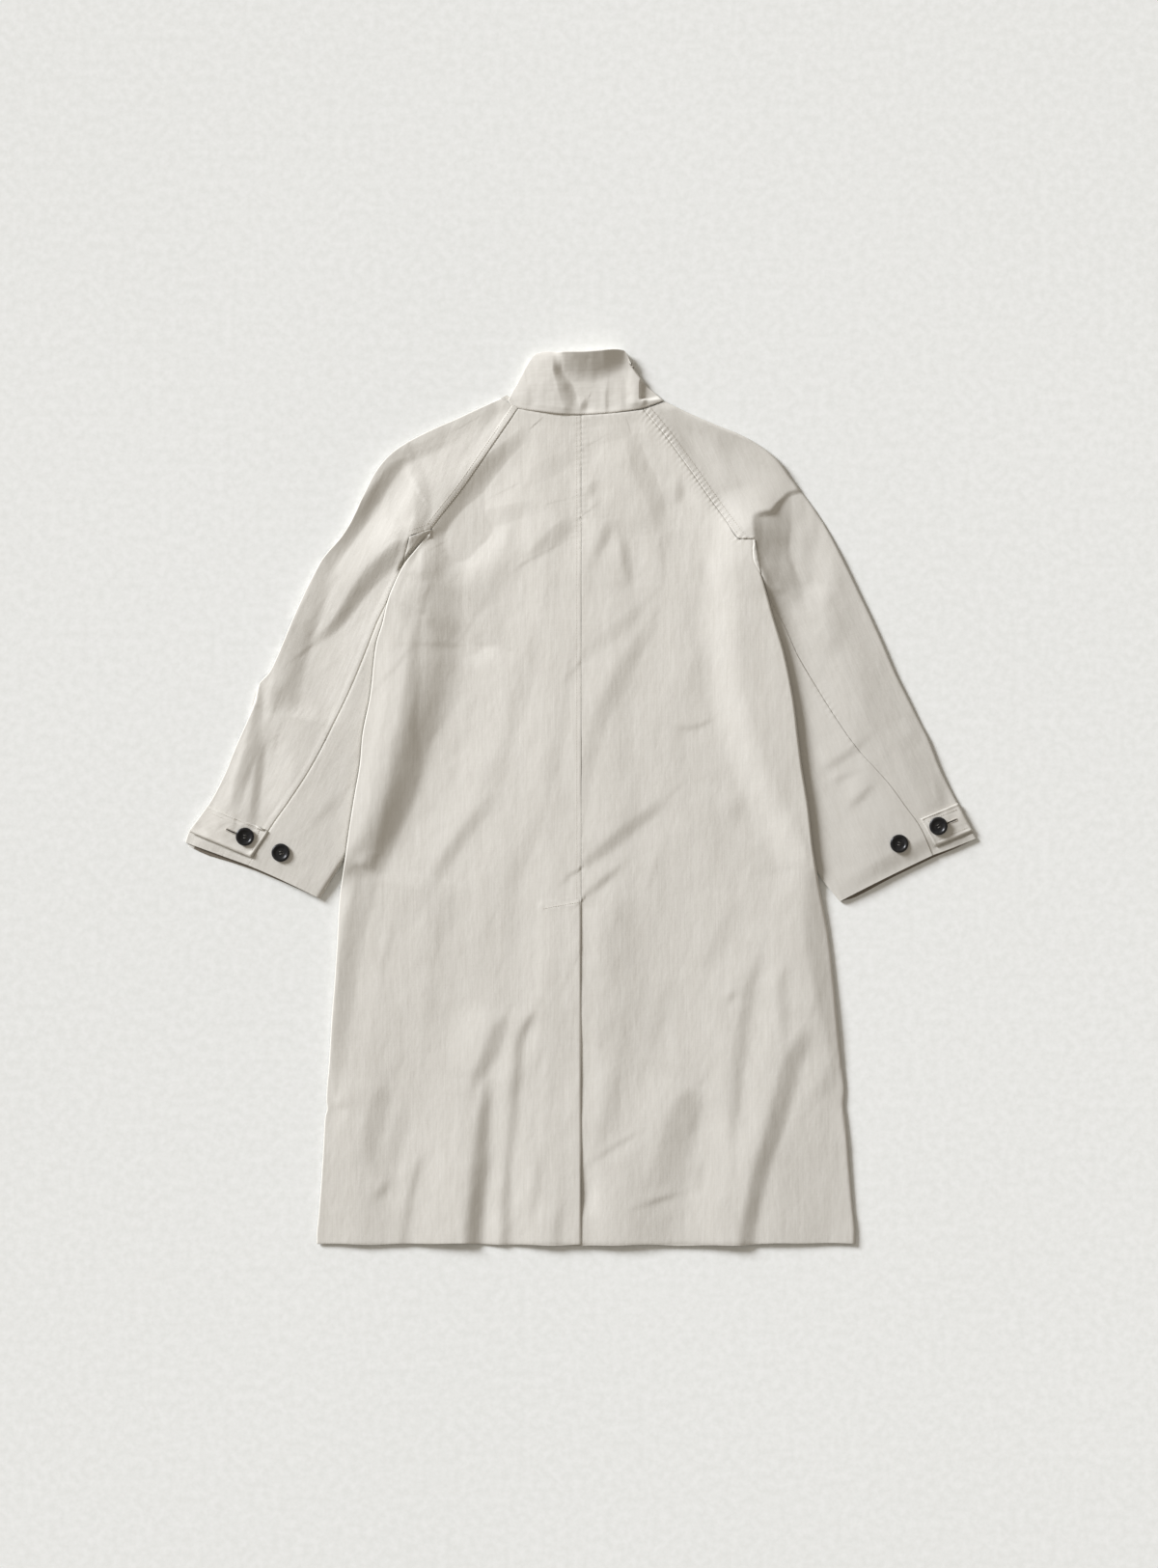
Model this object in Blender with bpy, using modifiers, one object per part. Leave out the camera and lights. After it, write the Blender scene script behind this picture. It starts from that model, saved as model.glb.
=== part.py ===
"""A balmacaan coat laid flat on a surface with its back up.

Raglan sleeves in two pieces, a raised one-piece collar, a centre-back vent and
a buttoned strap on each cuff. +X is to the right of the laid coat, +Y towards
the collar and +Z up from the surface. Tables are in millimetres; meshes are
made in metres. Left and right are the wearer's, and because the back is up the
wearer's left is at -X.
"""

import math

import bmesh
import bpy
from mathutils import Vector

MM = 0.001

# Driving dimensions, in millimetres
WALL = 1.6  # body and sleeve cloth with its turned-in edges
COLLAR_WALL = 2.4  # two plies and interlining
STRAP_WALL = 2.2  # two plies
SEAM_GAP = 0.3  # between the edges of pieces sewn together
LAYER_GAP = 0.4  # between plies that lie on each other
CENTRE_X = 1.2  # centre-back seam
VENT_TOP = -135.0  # where the centre-back seam ends
VENT_LAP = 51.0  # width of the underlap
FRONT_LAP = 30.0  # how far each front passes the centre
Z_FRONT = WALL / 2  # middle of the ply that lies on the surface
Z_ARM = 5.2  # middle of the upper sleeve ply at its fullest
Z_BACK = 6.0  # middle of the back ply over the fronts
CENTRE_RISE = 1.1  # the back ply is higher over the lapped fronts and the vent
SIDE_RISE = 0.72  # share of the fronts' lift over a sleeve that the back ply has
Z_SLEEVE_FOLD = 2.8  # middle of the upper sleeve ply where the body lies on it
Z_SHEET_EDGE = 1.1  # middle of an upper ply where it turns down to the surface
BUTTON_D = 23.0
BUTTON_H = 3.6
BUTTON_HOLE_D = 2.0
BUTTON_HOLE_PITCH = 6.4
BUTTON_SHANK = 1.2

# How an upper ply turns down at an edge of the laid coat
TURN = (  # in_from_edge, share_of_height
    (0.0, 0.00),
    (1.5, 0.42),
    (5.0, 0.76),
    (12.0, 0.94),
    (26.0, 1.00),
)

# The largest folds: a line through three points, its width and its height
FOLDS = (  # x0, y0, x1, y1, x2, y2, width, height
    (-106, 462, -148, 414, -178, 330, 34, -1.6),  # along the left raglan seam
    (-190, 200, -236, 60, -270, -90, 46, -2.0),  # long trough of the left side
    (-276, 180, -296, 30, -316, -100, 26, 1.2),  # ridge beside the left edge
    (-106, -290, -132, -400, -142, -585, 34, -1.8),  # left of the vent, to the hem
    (-66, -290, -86, -400, -94, -585, 30, -1.2),
    (303, -330, 262, -450, 206, -584, 40, -2.0),  # right quarter, to the hem
    (268, -280, 236, -430, 190, -584, 34, 1.2),  # ridge on its left
    (62, 226, 38, 150, 14, 84, 34, -1.0),  # right of the centre seam
    (104, -10, 60, -46, 8, -86, 34, -1.0),
    (-228, 448, -290, 375, -348, 250, 30, -1.4),  # left sleeve, along the outer edge
    (-348, 250, -372, 190, -386, 122, 30, -1.2),
    (-238, 338, -290, 270, -344, 208, 30, -1.4),  # left sleeve, second fold
    (-422, 130, -440, 60, -452, -10, 24, -1.0),
    (236, 372, 276, 372, 300, 290, 44, -1.4),  # right sleeve, below the shoulder
)

# Rows of the left back from neck to hem: the height on the centre seam, the
# edge point, how far that edge turns down (0 where it is sewn to the sleeve),
# and the height it turns down to
BACK_LEFT = (  # y_centre, x_edge, y_edge, turns, z_low
    (507, -82, 515, 0.0, 6.0),
    (479, -107, 479, 0.0, 6.0),
    (442, -132, 442, 0.0, 6.0),
    (409, -156, 409, 0.0, 6.0),
    (381, -177, 381, 0.0, 6.0),
    (352, -199, 352, 0.0, 6.0),
    (338, -225, 341, 0.2, 6.0),
    (324, -229, 325, 0.6, 5.6),
    (306, -234, 307, 1.0, 5.2),
    (284, -246, 284, 1.0, 5.0),
    (262, -255, 262, 1.0, 5.0),
    (231, -262, 231, 1.0, 5.0),
    (188, -272, 188, 1.0, 5.0),
    (136, -278, 136, 1.0, 5.0),
    (79, -289, 79, 1.0, 5.0),
    (8, -299, 8, 1.0, 5.0),
    (-40, -306, -40, 1.0, 5.0),
    (-79, -311, -79, 1.0, 5.0),
    (-110, -316, -110, 1.0, 3.6),
    (-135, -320, -140, 1.0, 1.6),
    (-180, -322, -185, 1.0, 1.1),
    (-230, -325, -232, 1.0, 1.1),
    (-286, -330, -286, 1.0, 1.1),
    (-350, -333, -350, 1.0, 1.1),
    (-413, -338, -413, 1.0, 1.1),
    (-475, -342, -475, 1.0, 1.1),
    (-535, -345, -535, 1.0, 1.1),
    (-592, -349, -590, 1.0, 1.1),
)
BACK_RIGHT = (  # y_centre, x_edge, y_edge, turns, z_low
    (507, 82, 514, 0.0, 6.0),
    (489, 104, 489, 0.0, 6.0),
    (461, 126, 461, 0.0, 6.0),
    (431, 148, 431, 0.0, 6.0),
    (397, 171, 397, 0.0, 6.0),
    (367, 193, 367, 0.0, 6.0),
    (344, 211, 342, 0.0, 6.0),
    (334, 229, 338, 0.2, 6.0),
    (318, 229, 320, 0.6, 5.6),
    (294, 240, 294, 1.0, 5.2),
    (267, 248, 267, 1.0, 5.0),
    (239, 256, 239, 1.0, 5.0),
    (191, 270, 191, 1.0, 5.0),
    (122, 284, 122, 1.0, 5.0),
    (47, 293, 47, 1.0, 5.0),
    (-16, 302, -16, 1.0, 5.0),
    (-68, 308, -68, 1.0, 5.0),
    (-102, 314, -102, 1.0, 5.0),
    (-135, 321, -137, 1.0, 3.0),
    (-175, 328, -175, 1.0, 1.2),
    (-215, 333, -215, 1.0, 1.1),
    (-286, 340, -286, 1.0, 1.1),
    (-350, 347, -350, 1.0, 1.1),
    (-401, 352, -401, 1.0, 1.1),
    (-478, 357, -478, 1.0, 1.1),
    (-540, 362, -540, 1.0, 1.1),
    (-594, 364, -590, 1.0, 1.1),
)

# Rows of the upper sleeve ply from neck to cuff: its outer edge, its inner
# edge (raglan seam, then underarm seam) and the height of that inner edge
SLEEVE_LEFT = (  # x_outer, y_outer, x_inner, y_inner, z_inner
    (-108, 523, -84.5, 514.2, 6.0),
    (-164, 502, -107, 479, 6.0),
    (-223, 475, -132, 442, 6.0),
    (-255, 452, -156, 409, 6.0),
    (-272, 431, -177, 381, 6.0),
    (-287, 401, -199, 354, 6.0),
    (-312, 353, -227, 345, 5.4),
    (-344, 314, -241, 296, 3.0),
    (-360, 284, -254, 262, 2.8),
    (-381, 239, -277, 212, 2.8),
    (-404, 184, -301, 150, 2.8),
    (-426, 149, -324, 100, 2.8),
    (-455, 72, -358, 39, 2.8),
    (-475, 25, -383, 1, 2.8),
    (-496, -15, -408, -35, 2.8),
    (-524, -60, -440, -89, 2.8),
)
SLEEVE_RIGHT = (  # x_outer, y_outer, x_inner, y_inner, z_inner
    (113, 521.5, 84.5, 513.2, 6.0),
    (158, 504, 104, 489, 6.0),
    (207, 483, 126, 461, 6.0),
    (240, 465, 148, 431, 6.0),
    (263, 446, 171, 397, 6.0),
    (294, 404, 193, 367, 6.0),
    (312, 380, 211, 343, 6.0),
    (328, 354, 231, 341, 5.4),
    (353, 308, 244, 290, 3.0),
    (369, 273, 250, 266, 2.8),
    (386, 239, 287, 189, 2.8),
    (418, 166, 319, 134, 2.8),
    (437, 127, 341, 100, 2.8),
    (463, 76, 390, 39, 2.8),
    (477, 40, 409, 17, 2.8),
    (500, -6, 440, -25, 2.8),
    (525, -54, 467, -76, 2.8),
)

# Below the armpit the front sleeve piece passes round the sleeve's inner fold
# and comes up to the underarm seam
WRAP_LEFT = (  # x_seam, y_seam, x_fold, y_fold
    (-247, 278, -212, 276),
    (-254, 262, -207, 245),
    (-277, 212, -209, 180),
    (-301, 150, -222, 115),
    (-324, 100, -238, 62),
    (-358, 39, -264, 2),
    (-383, 1, -287, -40),
    (-408, -35, -312, -80),
    (-440, -89, -346, -134),
)
WRAP_RIGHT = (  # x_seam, y_seam, x_fold, y_fold
    (247, 280, 212, 276),
    (250, 266, 207, 245),
    (287, 189, 208, 170),
    (319, 134, 221, 110),
    (341, 100, 236, 66),
    (390, 39, 262, 4),
    (409, 17, 279, -33),
    (440, -25, 311, -84),
    (467, -76, 344, -137),
)

# Inner edge of the sleeve ply that lies on the surface: front raglan seam,
# then the inner fold, a row for each row of the upper ply
UNDER_LEFT = (  # x_inner, y_inner
    (-94, 505), (-108, 470), (-130, 430), (-152, 398), (-174, 368),
    (-196, 344), (-212, 330), (-211, 288), (-208, 250), (-209, 190),
    (-218, 125), (-235, 68), (-262, 4), (-287, -40), (-312, -80),
    (-346, -134),
)
UNDER_RIGHT = (  # x_inner, y_inner
    (94, 505), (109, 472), (128, 440), (150, 408), (172, 376),
    (194, 348), (206, 338), (214, 326), (211, 286), (208, 255),
    (207, 190), (218, 118), (233, 72), (262, 4), (279, -33),
    (311, -84), (344, -137),
)

# Rows of a front from neckline to hem, for either side: the row's height, its
# edge, the sleeve fold it lies on, and its height there above the surface ply
FRONT = (  # y, x_edge_left, x_edge_right, x_fold, lift
    (470, 103, 105, 999, 0.0),
    (430, 129, 133, 999, 0.0),
    (398, 151, 155, 999, 0.0),
    (368, 173, 176, 999, 0.0),
    (346, 193, 193, 999, 0.0),
    (330, 210, 210, 208, 1.6),
    (312, 226, 222, 206, 4.0),
    (290, 238, 236, 204, 4.2),
    (262, 250, 244, 202, 4.2),
    (190, 266, 264, 202, 4.2),
    (115, 278, 280, 214, 4.2),
    (62, 286, 286, 230, 4.2),
    (2, 294, 294, 256, 4.2),
    (-40, 301, 300, 276, 4.2),
    (-80, 306, 305, 290, 4.2),
    (-110, 311, 310, 300, 2.2),
    (-150, 316, 318, 999, 0.0),
    (-300, 327, 337, 999, 0.0),
    (-450, 337, 350, 999, 0.0),
    (-588, 345, 360, 999, 0.0),
)
NECK_FRONT = (  # x, y of the front neckline, either side
    (0, 450), (20, 453), (40, 462), (60, 475), (80, 491), (92, 504),
)

# Collar stations round the neck, from the left front end to the right one:
# foot, middle and top of the collar, and its height above the surface
COLLAR = (  # x_foot, y_foot, x_mid, y_mid, x_top, y_top, z_foot, z_top
    (-0.6, 452, -0.6, 495, -0.6, 538, 1.6, 1.6),
    (-20, 455, -18, 498, -16, 541, 1.6, 1.6),
    (-40, 464, -36, 506, -31, 548, 1.6, 1.6),
    (-60, 477, -52, 517, -45, 558, 1.6, 1.6),
    (-80, 494, -70, 532, -57, 571, 1.6, 1.6),
    (-95, 513, -81, 544, -63, 580, 1.6, 1.6),
    (-98.6, 518, -84.4, 548, -66.2, 584, 2.2, 2.2),
    (-99.4, 521, -85, 551, -67, 586, 3.8, 3.6),
    (-98.6, 523.5, -84, 553, -66, 588, 5.4, 4.8),
    (-94.5, 521.5, -79, 553.5, -61, 589.5, 6.0, 5.2),
    (-82, 516.2, -66, 553, -48, 591, 6.0, 5.2),
    (-55, 512, -44, 551, -30, 590.5, 6.0, 5.2),
    (-25, 509, -19, 549, -12, 589.5, 6.0, 5.2),
    (1, 508, 2, 548, 4, 589.5, 6.0, 5.2),
    (36, 510.4, 33, 550, 28, 591.5, 6.0, 5.2),
    (60, 513, 54, 552, 45, 593, 6.0, 5.2),
    (82, 516, 70, 552, 54, 592, 6.0, 5.2),
    (104, 523.5, 80, 551, 62, 590, 6.0, 5.2),
    (109.5, 526, 84.5, 550.5, 66, 588, 5.4, 4.8),
    (111, 525, 86, 549, 67.5, 586, 3.8, 3.6),
    (109.5, 522, 84.5, 546, 66, 583, 2.2, 2.2),
    (104, 516, 81, 542, 63, 579, 1.6, 1.6),
    (80, 494, 70, 532, 57, 571, 1.6, 1.6),
    (60, 477, 52, 517, 45, 558, 1.6, 1.6),
    (40, 464, 36, 506, 31, 548, 1.6, 1.6),
    (20, 455, 18, 498, 16, 541, 1.6, 1.6),
    (0.6, 452, 0.6, 495, 0.6, 538, 1.6, 1.6),
)

# A cuff strap's long edges, each from the sleeve's outer edge to the tip
STRAP_LEFT = (  # x_outer, y_outer, x_tip, y_tip
    (-493.5, -11, -414.5, -45),
    (-502, -25, -424, -60),
    (-511, -39, -432, -74),
    (-515, -46, -437, -81),
)
STRAP_RIGHT = (  # x_outer, y_outer, x_tip, y_tip
    (499.5, -5, 449, -30),
    (506, -19, 456, -43),
    (513, -32, 463, -55),
    (518, -42, 469, -64),
)

BUTTONS = (  # name, x, y, z of its underside
    ("button_left_strap", -444.0, -52.0, 9.2),
    ("button_left_sleeve", -397.0, -73.0, 5.0),
    ("button_right_strap", 474.0, -38.0, 9.2),
    ("button_right_sleeve", 422.0, -61.0, 5.0),
)

CLOTH_COLOUR = (0.66, 0.62, 0.55, 1.0)
BUTTON_COLOUR = (0.012, 0.012, 0.013, 1.0)


def clear_scene():
    for obj in list(bpy.data.objects):
        bpy.data.objects.remove(obj, do_unlink=True)


def material(name, colour, roughness):
    mat = bpy.data.materials.new(name)
    mat.use_nodes = True
    shader = mat.node_tree.nodes["Principled BSDF"]
    shader.inputs["Base Color"].default_value = colour
    shader.inputs["Roughness"].default_value = roughness
    shader.inputs["Metallic"].default_value = 0.0
    return mat


def collection(name):
    made = bpy.data.collections.new(name)
    bpy.context.scene.collection.children.link(made)
    return made


def smooth(t):
    t = min(1.0, max(0.0, t))
    return t * t * (3 - 2 * t)


def lerp(a, b, t):
    return a + (b - a) * t


def bend(a, b, c, t):
    """A point on the smooth curve that passes a, b and c at 0, a half and 1."""
    return (
        a * (2 * t - 1) * (t - 1) + b * 4 * t * (1 - t) + c * t * (2 * t - 1)
    )


def relief(x, y):
    """Height of the largest folds at a point, from the nearest place on each."""
    total = 0.0
    for x0, y0, x1, y1, x2, y2, width, height in FOLDS:
        near, where = 1e9, 0.0
        for step in range(13):
            t = step / 12
            d = math.hypot(x - bend(x0, x1, x2, t), y - bend(y0, y1, y2, t))
            if d < near:
                near, where = d, t
        if near < width:
            ends = smooth(min(where, 1 - where) / 0.2 + 0.15)
            total += height * ends * (0.5 + 0.5 * math.cos(math.pi * near / width))
    return total


def turned(distance):
    """Share of its full height that a ply has at a distance in from its edge."""
    for (d0, s0), (d1, s1) in zip(TURN, TURN[1:]):
        if distance <= d1:
            return lerp(s0, s1, (distance - d0) / (d1 - d0))
    return 1.0


def surface(name, rows, group, keep=None):
    """An open sheet through rows of points, a face for each cell it keeps."""
    mesh = bpy.data.meshes.new(name)
    bm = bmesh.new()
    grid = [[bm.verts.new([c * MM for c in p]) for p in row] for row in rows]
    for i in range(len(rows) - 1):
        for j in range(len(rows[0]) - 1):
            if keep is None or keep(i, j):
                bm.faces.new(
                    (grid[i][j], grid[i + 1][j], grid[i + 1][j + 1], grid[i][j + 1])
                )
    loose = [v for v in bm.verts if not v.link_faces]
    bmesh.ops.delete(bm, geom=loose, context="VERTS")
    bmesh.ops.recalc_face_normals(bm, faces=bm.faces)
    if sum(f.normal.z * f.calc_area() for f in bm.faces) < 0:
        bmesh.ops.reverse_faces(bm, faces=bm.faces)
    bm.to_mesh(mesh)
    bm.free()
    obj = bpy.data.objects.new(name, mesh)
    group.objects.link(obj)
    return obj


def cloth(name, rows, wall, mat, group, keep=None):
    """A sheet given its thickness, half to each side."""
    obj = surface(name, rows, group, keep)
    solid = obj.modifiers.new("wall", "SOLIDIFY")
    solid.thickness = wall * MM
    solid.offset = 0.0
    solid.use_even_offset = True
    solid.use_rim = True
    obj.data.materials.append(mat)
    return obj


def back_columns(width, count):
    """Distances in from the edge: close together at the turn, then even."""
    last = TURN[-1][0]
    return [d for d, _ in TURN] + [
        lerp(last, width, k / count) for k in range(1, count + 1)
    ]


def over_sleeve(y, side):
    """The sleeve's inner fold and the fronts' lift over it at a height."""
    rows = [(r[0], r[3] if r[3] < 900 else abs(r[1]) - 26, r[4]) for r in FRONT]
    for (y0, f0, l0), (y1, f1, l1) in zip(rows, rows[1:]):
        if y >= y1:
            t = min(1.0, (y0 - y) / (y0 - y1))
            return lerp(f0, f1, max(0.0, t)), lerp(l0, l1, max(0.0, t))
    return rows[-1][1], rows[-1][2]


def back_height(x, y, side):
    """Middle of the back ply before its folds."""
    fold, lift = over_sleeve(y, side)
    z = Z_BACK + SIDE_RISE * lift * smooth((abs(x) - (fold - 44)) / 40)
    return z + CENTRE_RISE * smooth((78 - abs(x)) / 36) * smooth((440 - y) / 60)


def back_row(row, side, count):
    y_centre, x_edge, y_edge, turns, z_low = row
    x_centre = CENTRE_X + side * SEAM_GAP / 2
    width = abs(x_edge - x_centre)
    dip = 1.3 * max(0.0, 1 - (507 - y_centre) / 60)
    points = []
    for d in back_columns(width - SEAM_GAP, count):
        d += SEAM_GAP * (1 - turns)
        x = x_edge - side * d
        t = (d - SEAM_GAP) / (width - SEAM_GAP)
        y = lerp(y_edge, y_centre, t) - 4 * dip * t * (1 - t)
        full = back_height(x, y, side)
        down = turns * (1 - turned(d))
        z = lerp(full, z_low, down) + relief(x, y) * (1 - down)
        points.append((x, y, z))
    points[-1] = (x_centre, *points[-1][1:])
    return points


def make_back_left(mat, group):
    rows = [back_row(row, -1, 9) for row in BACK_LEFT]
    cloth("back_left", rows, WALL, mat, group)


def make_back_right(mat, group):
    """Its last columns are the vent's underlap, below the seam only."""
    columns = (  # past_centre, drop
        (-6.0, 2.1),
        (-VENT_LAP / 2, 2.1),
        (-VENT_LAP, 3.2),
    )
    rows, vent = [], []
    for row in BACK_RIGHT:
        points = back_row(row, 1, 9)
        lap = smooth((VENT_TOP + 1 - row[0]) / 60) > 0 or row[0] <= VENT_TOP
        if lap:  # the free edge below the seam sinks under the left panel
            x, y, z = points[-1]
            points[-1] = (x + 1.2, y, z - 2.0)
        x, y, z = points[-1]
        for past, drop in columns:
            x = CENTRE_X + past
            points.append((x, y, back_height(x, y, 1) + relief(x, y) - drop))
        rows.append(points)
        vent.append(row[0] <= VENT_TOP)
    edge = len(rows[0]) - 1 - len(columns)
    cloth("back_right", rows, WALL, mat, group, lambda i, j: j < edge or vent[i])


def arm_height(d, width, z_inner, fullest):
    if d <= TURN[-1][0]:
        return lerp(Z_SHEET_EDGE, fullest, turned(d))
    t = (d - TURN[-1][0]) / (width - TURN[-1][0])
    return lerp(fullest, z_inner, t * t)


def make_sleeve_back(name, table, mat, group):
    rows = []
    for xo, yo, xi, yi, zi in table:
        width = math.hypot(xi - xo, yi - yo)
        ux, uy = (xi - xo) / width, (yi - yo) / width
        inside = width - SEAM_GAP
        fullest = lerp(Z_ARM, Z_BACK, smooth((zi - 3) / 3))
        points = []
        narrow = min(1.0, inside / 60)
        last = TURN[-1][0] * narrow
        steps = [d * narrow for d, _ in TURN] + [
            lerp(last, inside, k / 6) for k in range(1, 7)
        ]
        for d in steps:
            x, y = xo + ux * d, yo + uy * d
            z = arm_height(d, width, zi, fullest)
            points.append((x, y, z + relief(x, y) * turned(d)))
        rows.append(points)
    cloth(name, rows, WALL, mat, group)


def make_sleeve_front(name, outer, inner, wrap, side, mat, group):
    """The ply on the surface, joined with the strip round the inner fold."""
    rows = []
    for (xo, yo, *_), (xi, yi) in zip(outer, inner):
        width = math.hypot(xi - xo, yi - yo)
        ux, uy = (xi - xo) / width, (yi - yo) / width
        start, end = min(5.0, width / 6), width - (3.0 if yi < 300 else 0.8)
        rows.append(
            [
                (xo + ux * lerp(start, end, k / 4), yo + uy * lerp(start, end, k / 4), Z_FRONT)
                for k in range(5)
            ]
        )
    ply = cloth(name, rows, WALL, mat, group)
    radius = (Z_SLEEVE_FOLD - Z_FRONT) / 2
    middle = Z_FRONT + radius
    strips = []
    for xs, ys, xf, yf in wrap:
        width = math.hypot(xf - xs, yf - ys)
        ux, uy = (xf - xs) / width, (yf - ys) / width
        section = [(width - 16, Z_FRONT), (width - 1.5 * radius - 2, Z_FRONT)]
        for k in range(5):
            a = -math.pi / 2 + math.pi * k / 4
            section.append((width - 0.8 - radius + radius * math.cos(a), middle + radius * math.sin(a)))
        section += [(width - 9, Z_SLEEVE_FOLD), (width / 2, Z_SLEEVE_FOLD), (SEAM_GAP, Z_SLEEVE_FOLD)]
        strips.append([(xs + ux * d, ys + uy * d, z) for d, z in section])
    strip = cloth(name + "_fold", strips, WALL - 0.4, mat, group)
    join(ply, strip, group)


def join(obj, other, group):
    """One body from two that cross, by a Boolean union of their solids."""
    graph = bpy.context.evaluated_depsgraph_get()
    graph.update()
    for each in (obj, other):
        mesh = bpy.data.meshes.new_from_object(each.evaluated_get(graph))
        each.modifiers.clear()
        each.data = mesh
    union = obj.modifiers.new("join", "BOOLEAN")
    union.operation = "UNION"
    union.solver = "EXACT"
    union.object = other
    graph = bpy.context.evaluated_depsgraph_get()
    graph.update()
    mesh = bpy.data.meshes.new_from_object(obj.evaluated_get(graph))
    obj.modifiers.clear()
    obj.data = mesh
    group.objects.unlink(other)
    bpy.data.objects.remove(other, do_unlink=True)


def neck_height(x):
    """Height along Y of the front neckline."""
    x = abs(x)
    for (x0, y0), (x1, y1) in zip(NECK_FRONT, NECK_FRONT[1:]):
        if x <= x1:
            return lerp(y0, y1, (x - x0) / (x1 - x0))
    return NECK_FRONT[-1][1]


def make_front(name, side, over, mat, group):
    """A front from its lap at the centre to the raglan seam or side."""
    rows = []
    count = 9
    table = list(FRONT)
    for index, (y, left, right, fold, lift) in enumerate(table):
        edge = left if side < 0 else right
        if fold > edge:
            fold = edge - 26
        lap = -FRONT_LAP
        xs = [lap, 4.0, 36.0, 64.0, 0.65 * fold, fold - 34, fold - 18, fold - 4, (fold + edge) / 2, edge]
        xs = sorted(xs)
        points = []
        for x in xs:
            z = Z_FRONT + lift * smooth((x - (fold - 34)) / 30)
            if over:
                z += (WALL + LAYER_GAP) * smooth((64 - x) / 28)
            points.append((side * x + (CENTRE_X if x < 30 else 0), y, z))
        rows.append(points)
    # the first rows follow the neckline
    top = []
    for x, y, z in rows[0]:
        top.append((x * 0.86, neck_height(x * 0.86) - 0.6, z))
    rows.insert(0, top)
    second = [(x, min(y, neck_height(x) - 6), z) for x, y, z in rows[1]]
    rows[1] = second
    third = [(x, min(y, neck_height(x) - 14), z) for x, y, z in rows[2]]
    rows[2] = third
    cloth(name, rows, WALL, mat, group)


def make_collar(mat, group):
    rows = []
    for k in range(5):
        t = k / 4
        rows.append(
            [
                (bend(xf, xm, xt, t), bend(yf, ym, yt, t), lerp(zf, zt, t))
                for xf, yf, xm, ym, xt, yt, zf, zt in COLLAR
            ]
        )
    cloth("collar", rows, COLLAR_WALL, mat, group)


def make_strap(name, table, sleeve_width, mat, group):
    """Lies on the sleeve's points, moved out by half of both plies."""
    lift = WALL / 2 + LAYER_GAP + 0.2 + STRAP_WALL / 2
    rows = []
    for xo, yo, xi, yi in table:
        width = math.hypot(xi - xo, yi - yo)
        ux, uy = (xi - xo) / width, (yi - yo) / width
        section = [(-2.9, STRAP_WALL / 2 + 0.3), (-2.4, 3.0)]
        for d, out in ((1.5, 1.5), (5.0, 0.7), (12.0, 0.2), (26.0, 0.0)):
            section.append((d - out, arm_height(d, sleeve_width, Z_SLEEVE_FOLD, Z_ARM) + math.sqrt(lift**2 - out**2)))
        for k in range(1, 5):
            d = lerp(26.0, width, k / 4)
            section.append((d, arm_height(d, sleeve_width, Z_SLEEVE_FOLD, Z_ARM) + lift))
        rows.append([(xo + ux * d, yo + uy * d, z) for d, z in section])
    cloth(name, rows, STRAP_WALL, mat, group)


def make_button(name, x, y, z, mat, group, cutters):
    """A turned disc with a raised rim and a dished face, and four holes."""
    r, h = BUTTON_D / 2, BUTTON_H
    profile = (  # radius, height
        (0.0, h - 1.3),
        (r - 3.8, h - 1.3),
        (r - 2.6, h - 0.2),
        (r - 1.4, h),
        (r, h - 1.2),
        (r - 0.4, 1.0),
        (r - 3.5, 0.0),
        (0.0, 0.0),
    )
    mesh = bpy.data.meshes.new(name)
    bm = bmesh.new()
    verts = [bm.verts.new((pr * MM, 0.0, pz * MM)) for pr, pz in profile]
    for a, b in zip(verts, verts[1:]):
        bm.edges.new((a, b))
    bm.to_mesh(mesh)
    bm.free()
    obj = bpy.data.objects.new(name, mesh)
    obj.location = (x * MM, y * MM, z * MM)
    group.objects.link(obj)
    screw = obj.modifiers.new("turn", "SCREW")
    screw.steps = screw.render_steps = 22
    screw.use_merge_vertices = True
    screw.merge_threshold = 0.00001
    screw.use_smooth_shade = True
    holes = bpy.data.meshes.new(name + "_holes")
    bm = bmesh.new()
    for sx in (-1, 1):
        for sy in (-1, 1):
            made = bmesh.ops.create_cone(
                bm, cap_ends=True, segments=8,
                radius1=BUTTON_HOLE_D / 2 * MM, radius2=BUTTON_HOLE_D / 2 * MM, depth=2 * h * MM,
            )
            shift = Vector((sx * BUTTON_HOLE_PITCH / 2.83 * MM, sy * BUTTON_HOLE_PITCH / 2.83 * MM, h / 2 * MM))
            bmesh.ops.translate(bm, verts=made["verts"], vec=shift)
    bm.to_mesh(holes)
    bm.free()
    cutter = bpy.data.objects.new(name + "_holes", holes)
    cutter.location = obj.location
    cutter.hide_render = True
    cutter.display_type = "WIRE"
    cutters.objects.link(cutter)
    cut = obj.modifiers.new("holes", "BOOLEAN")
    cut.operation = "DIFFERENCE"
    cut.solver = "EXACT"
    cut.object = cutter
    mesh.materials.append(mat)


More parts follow.
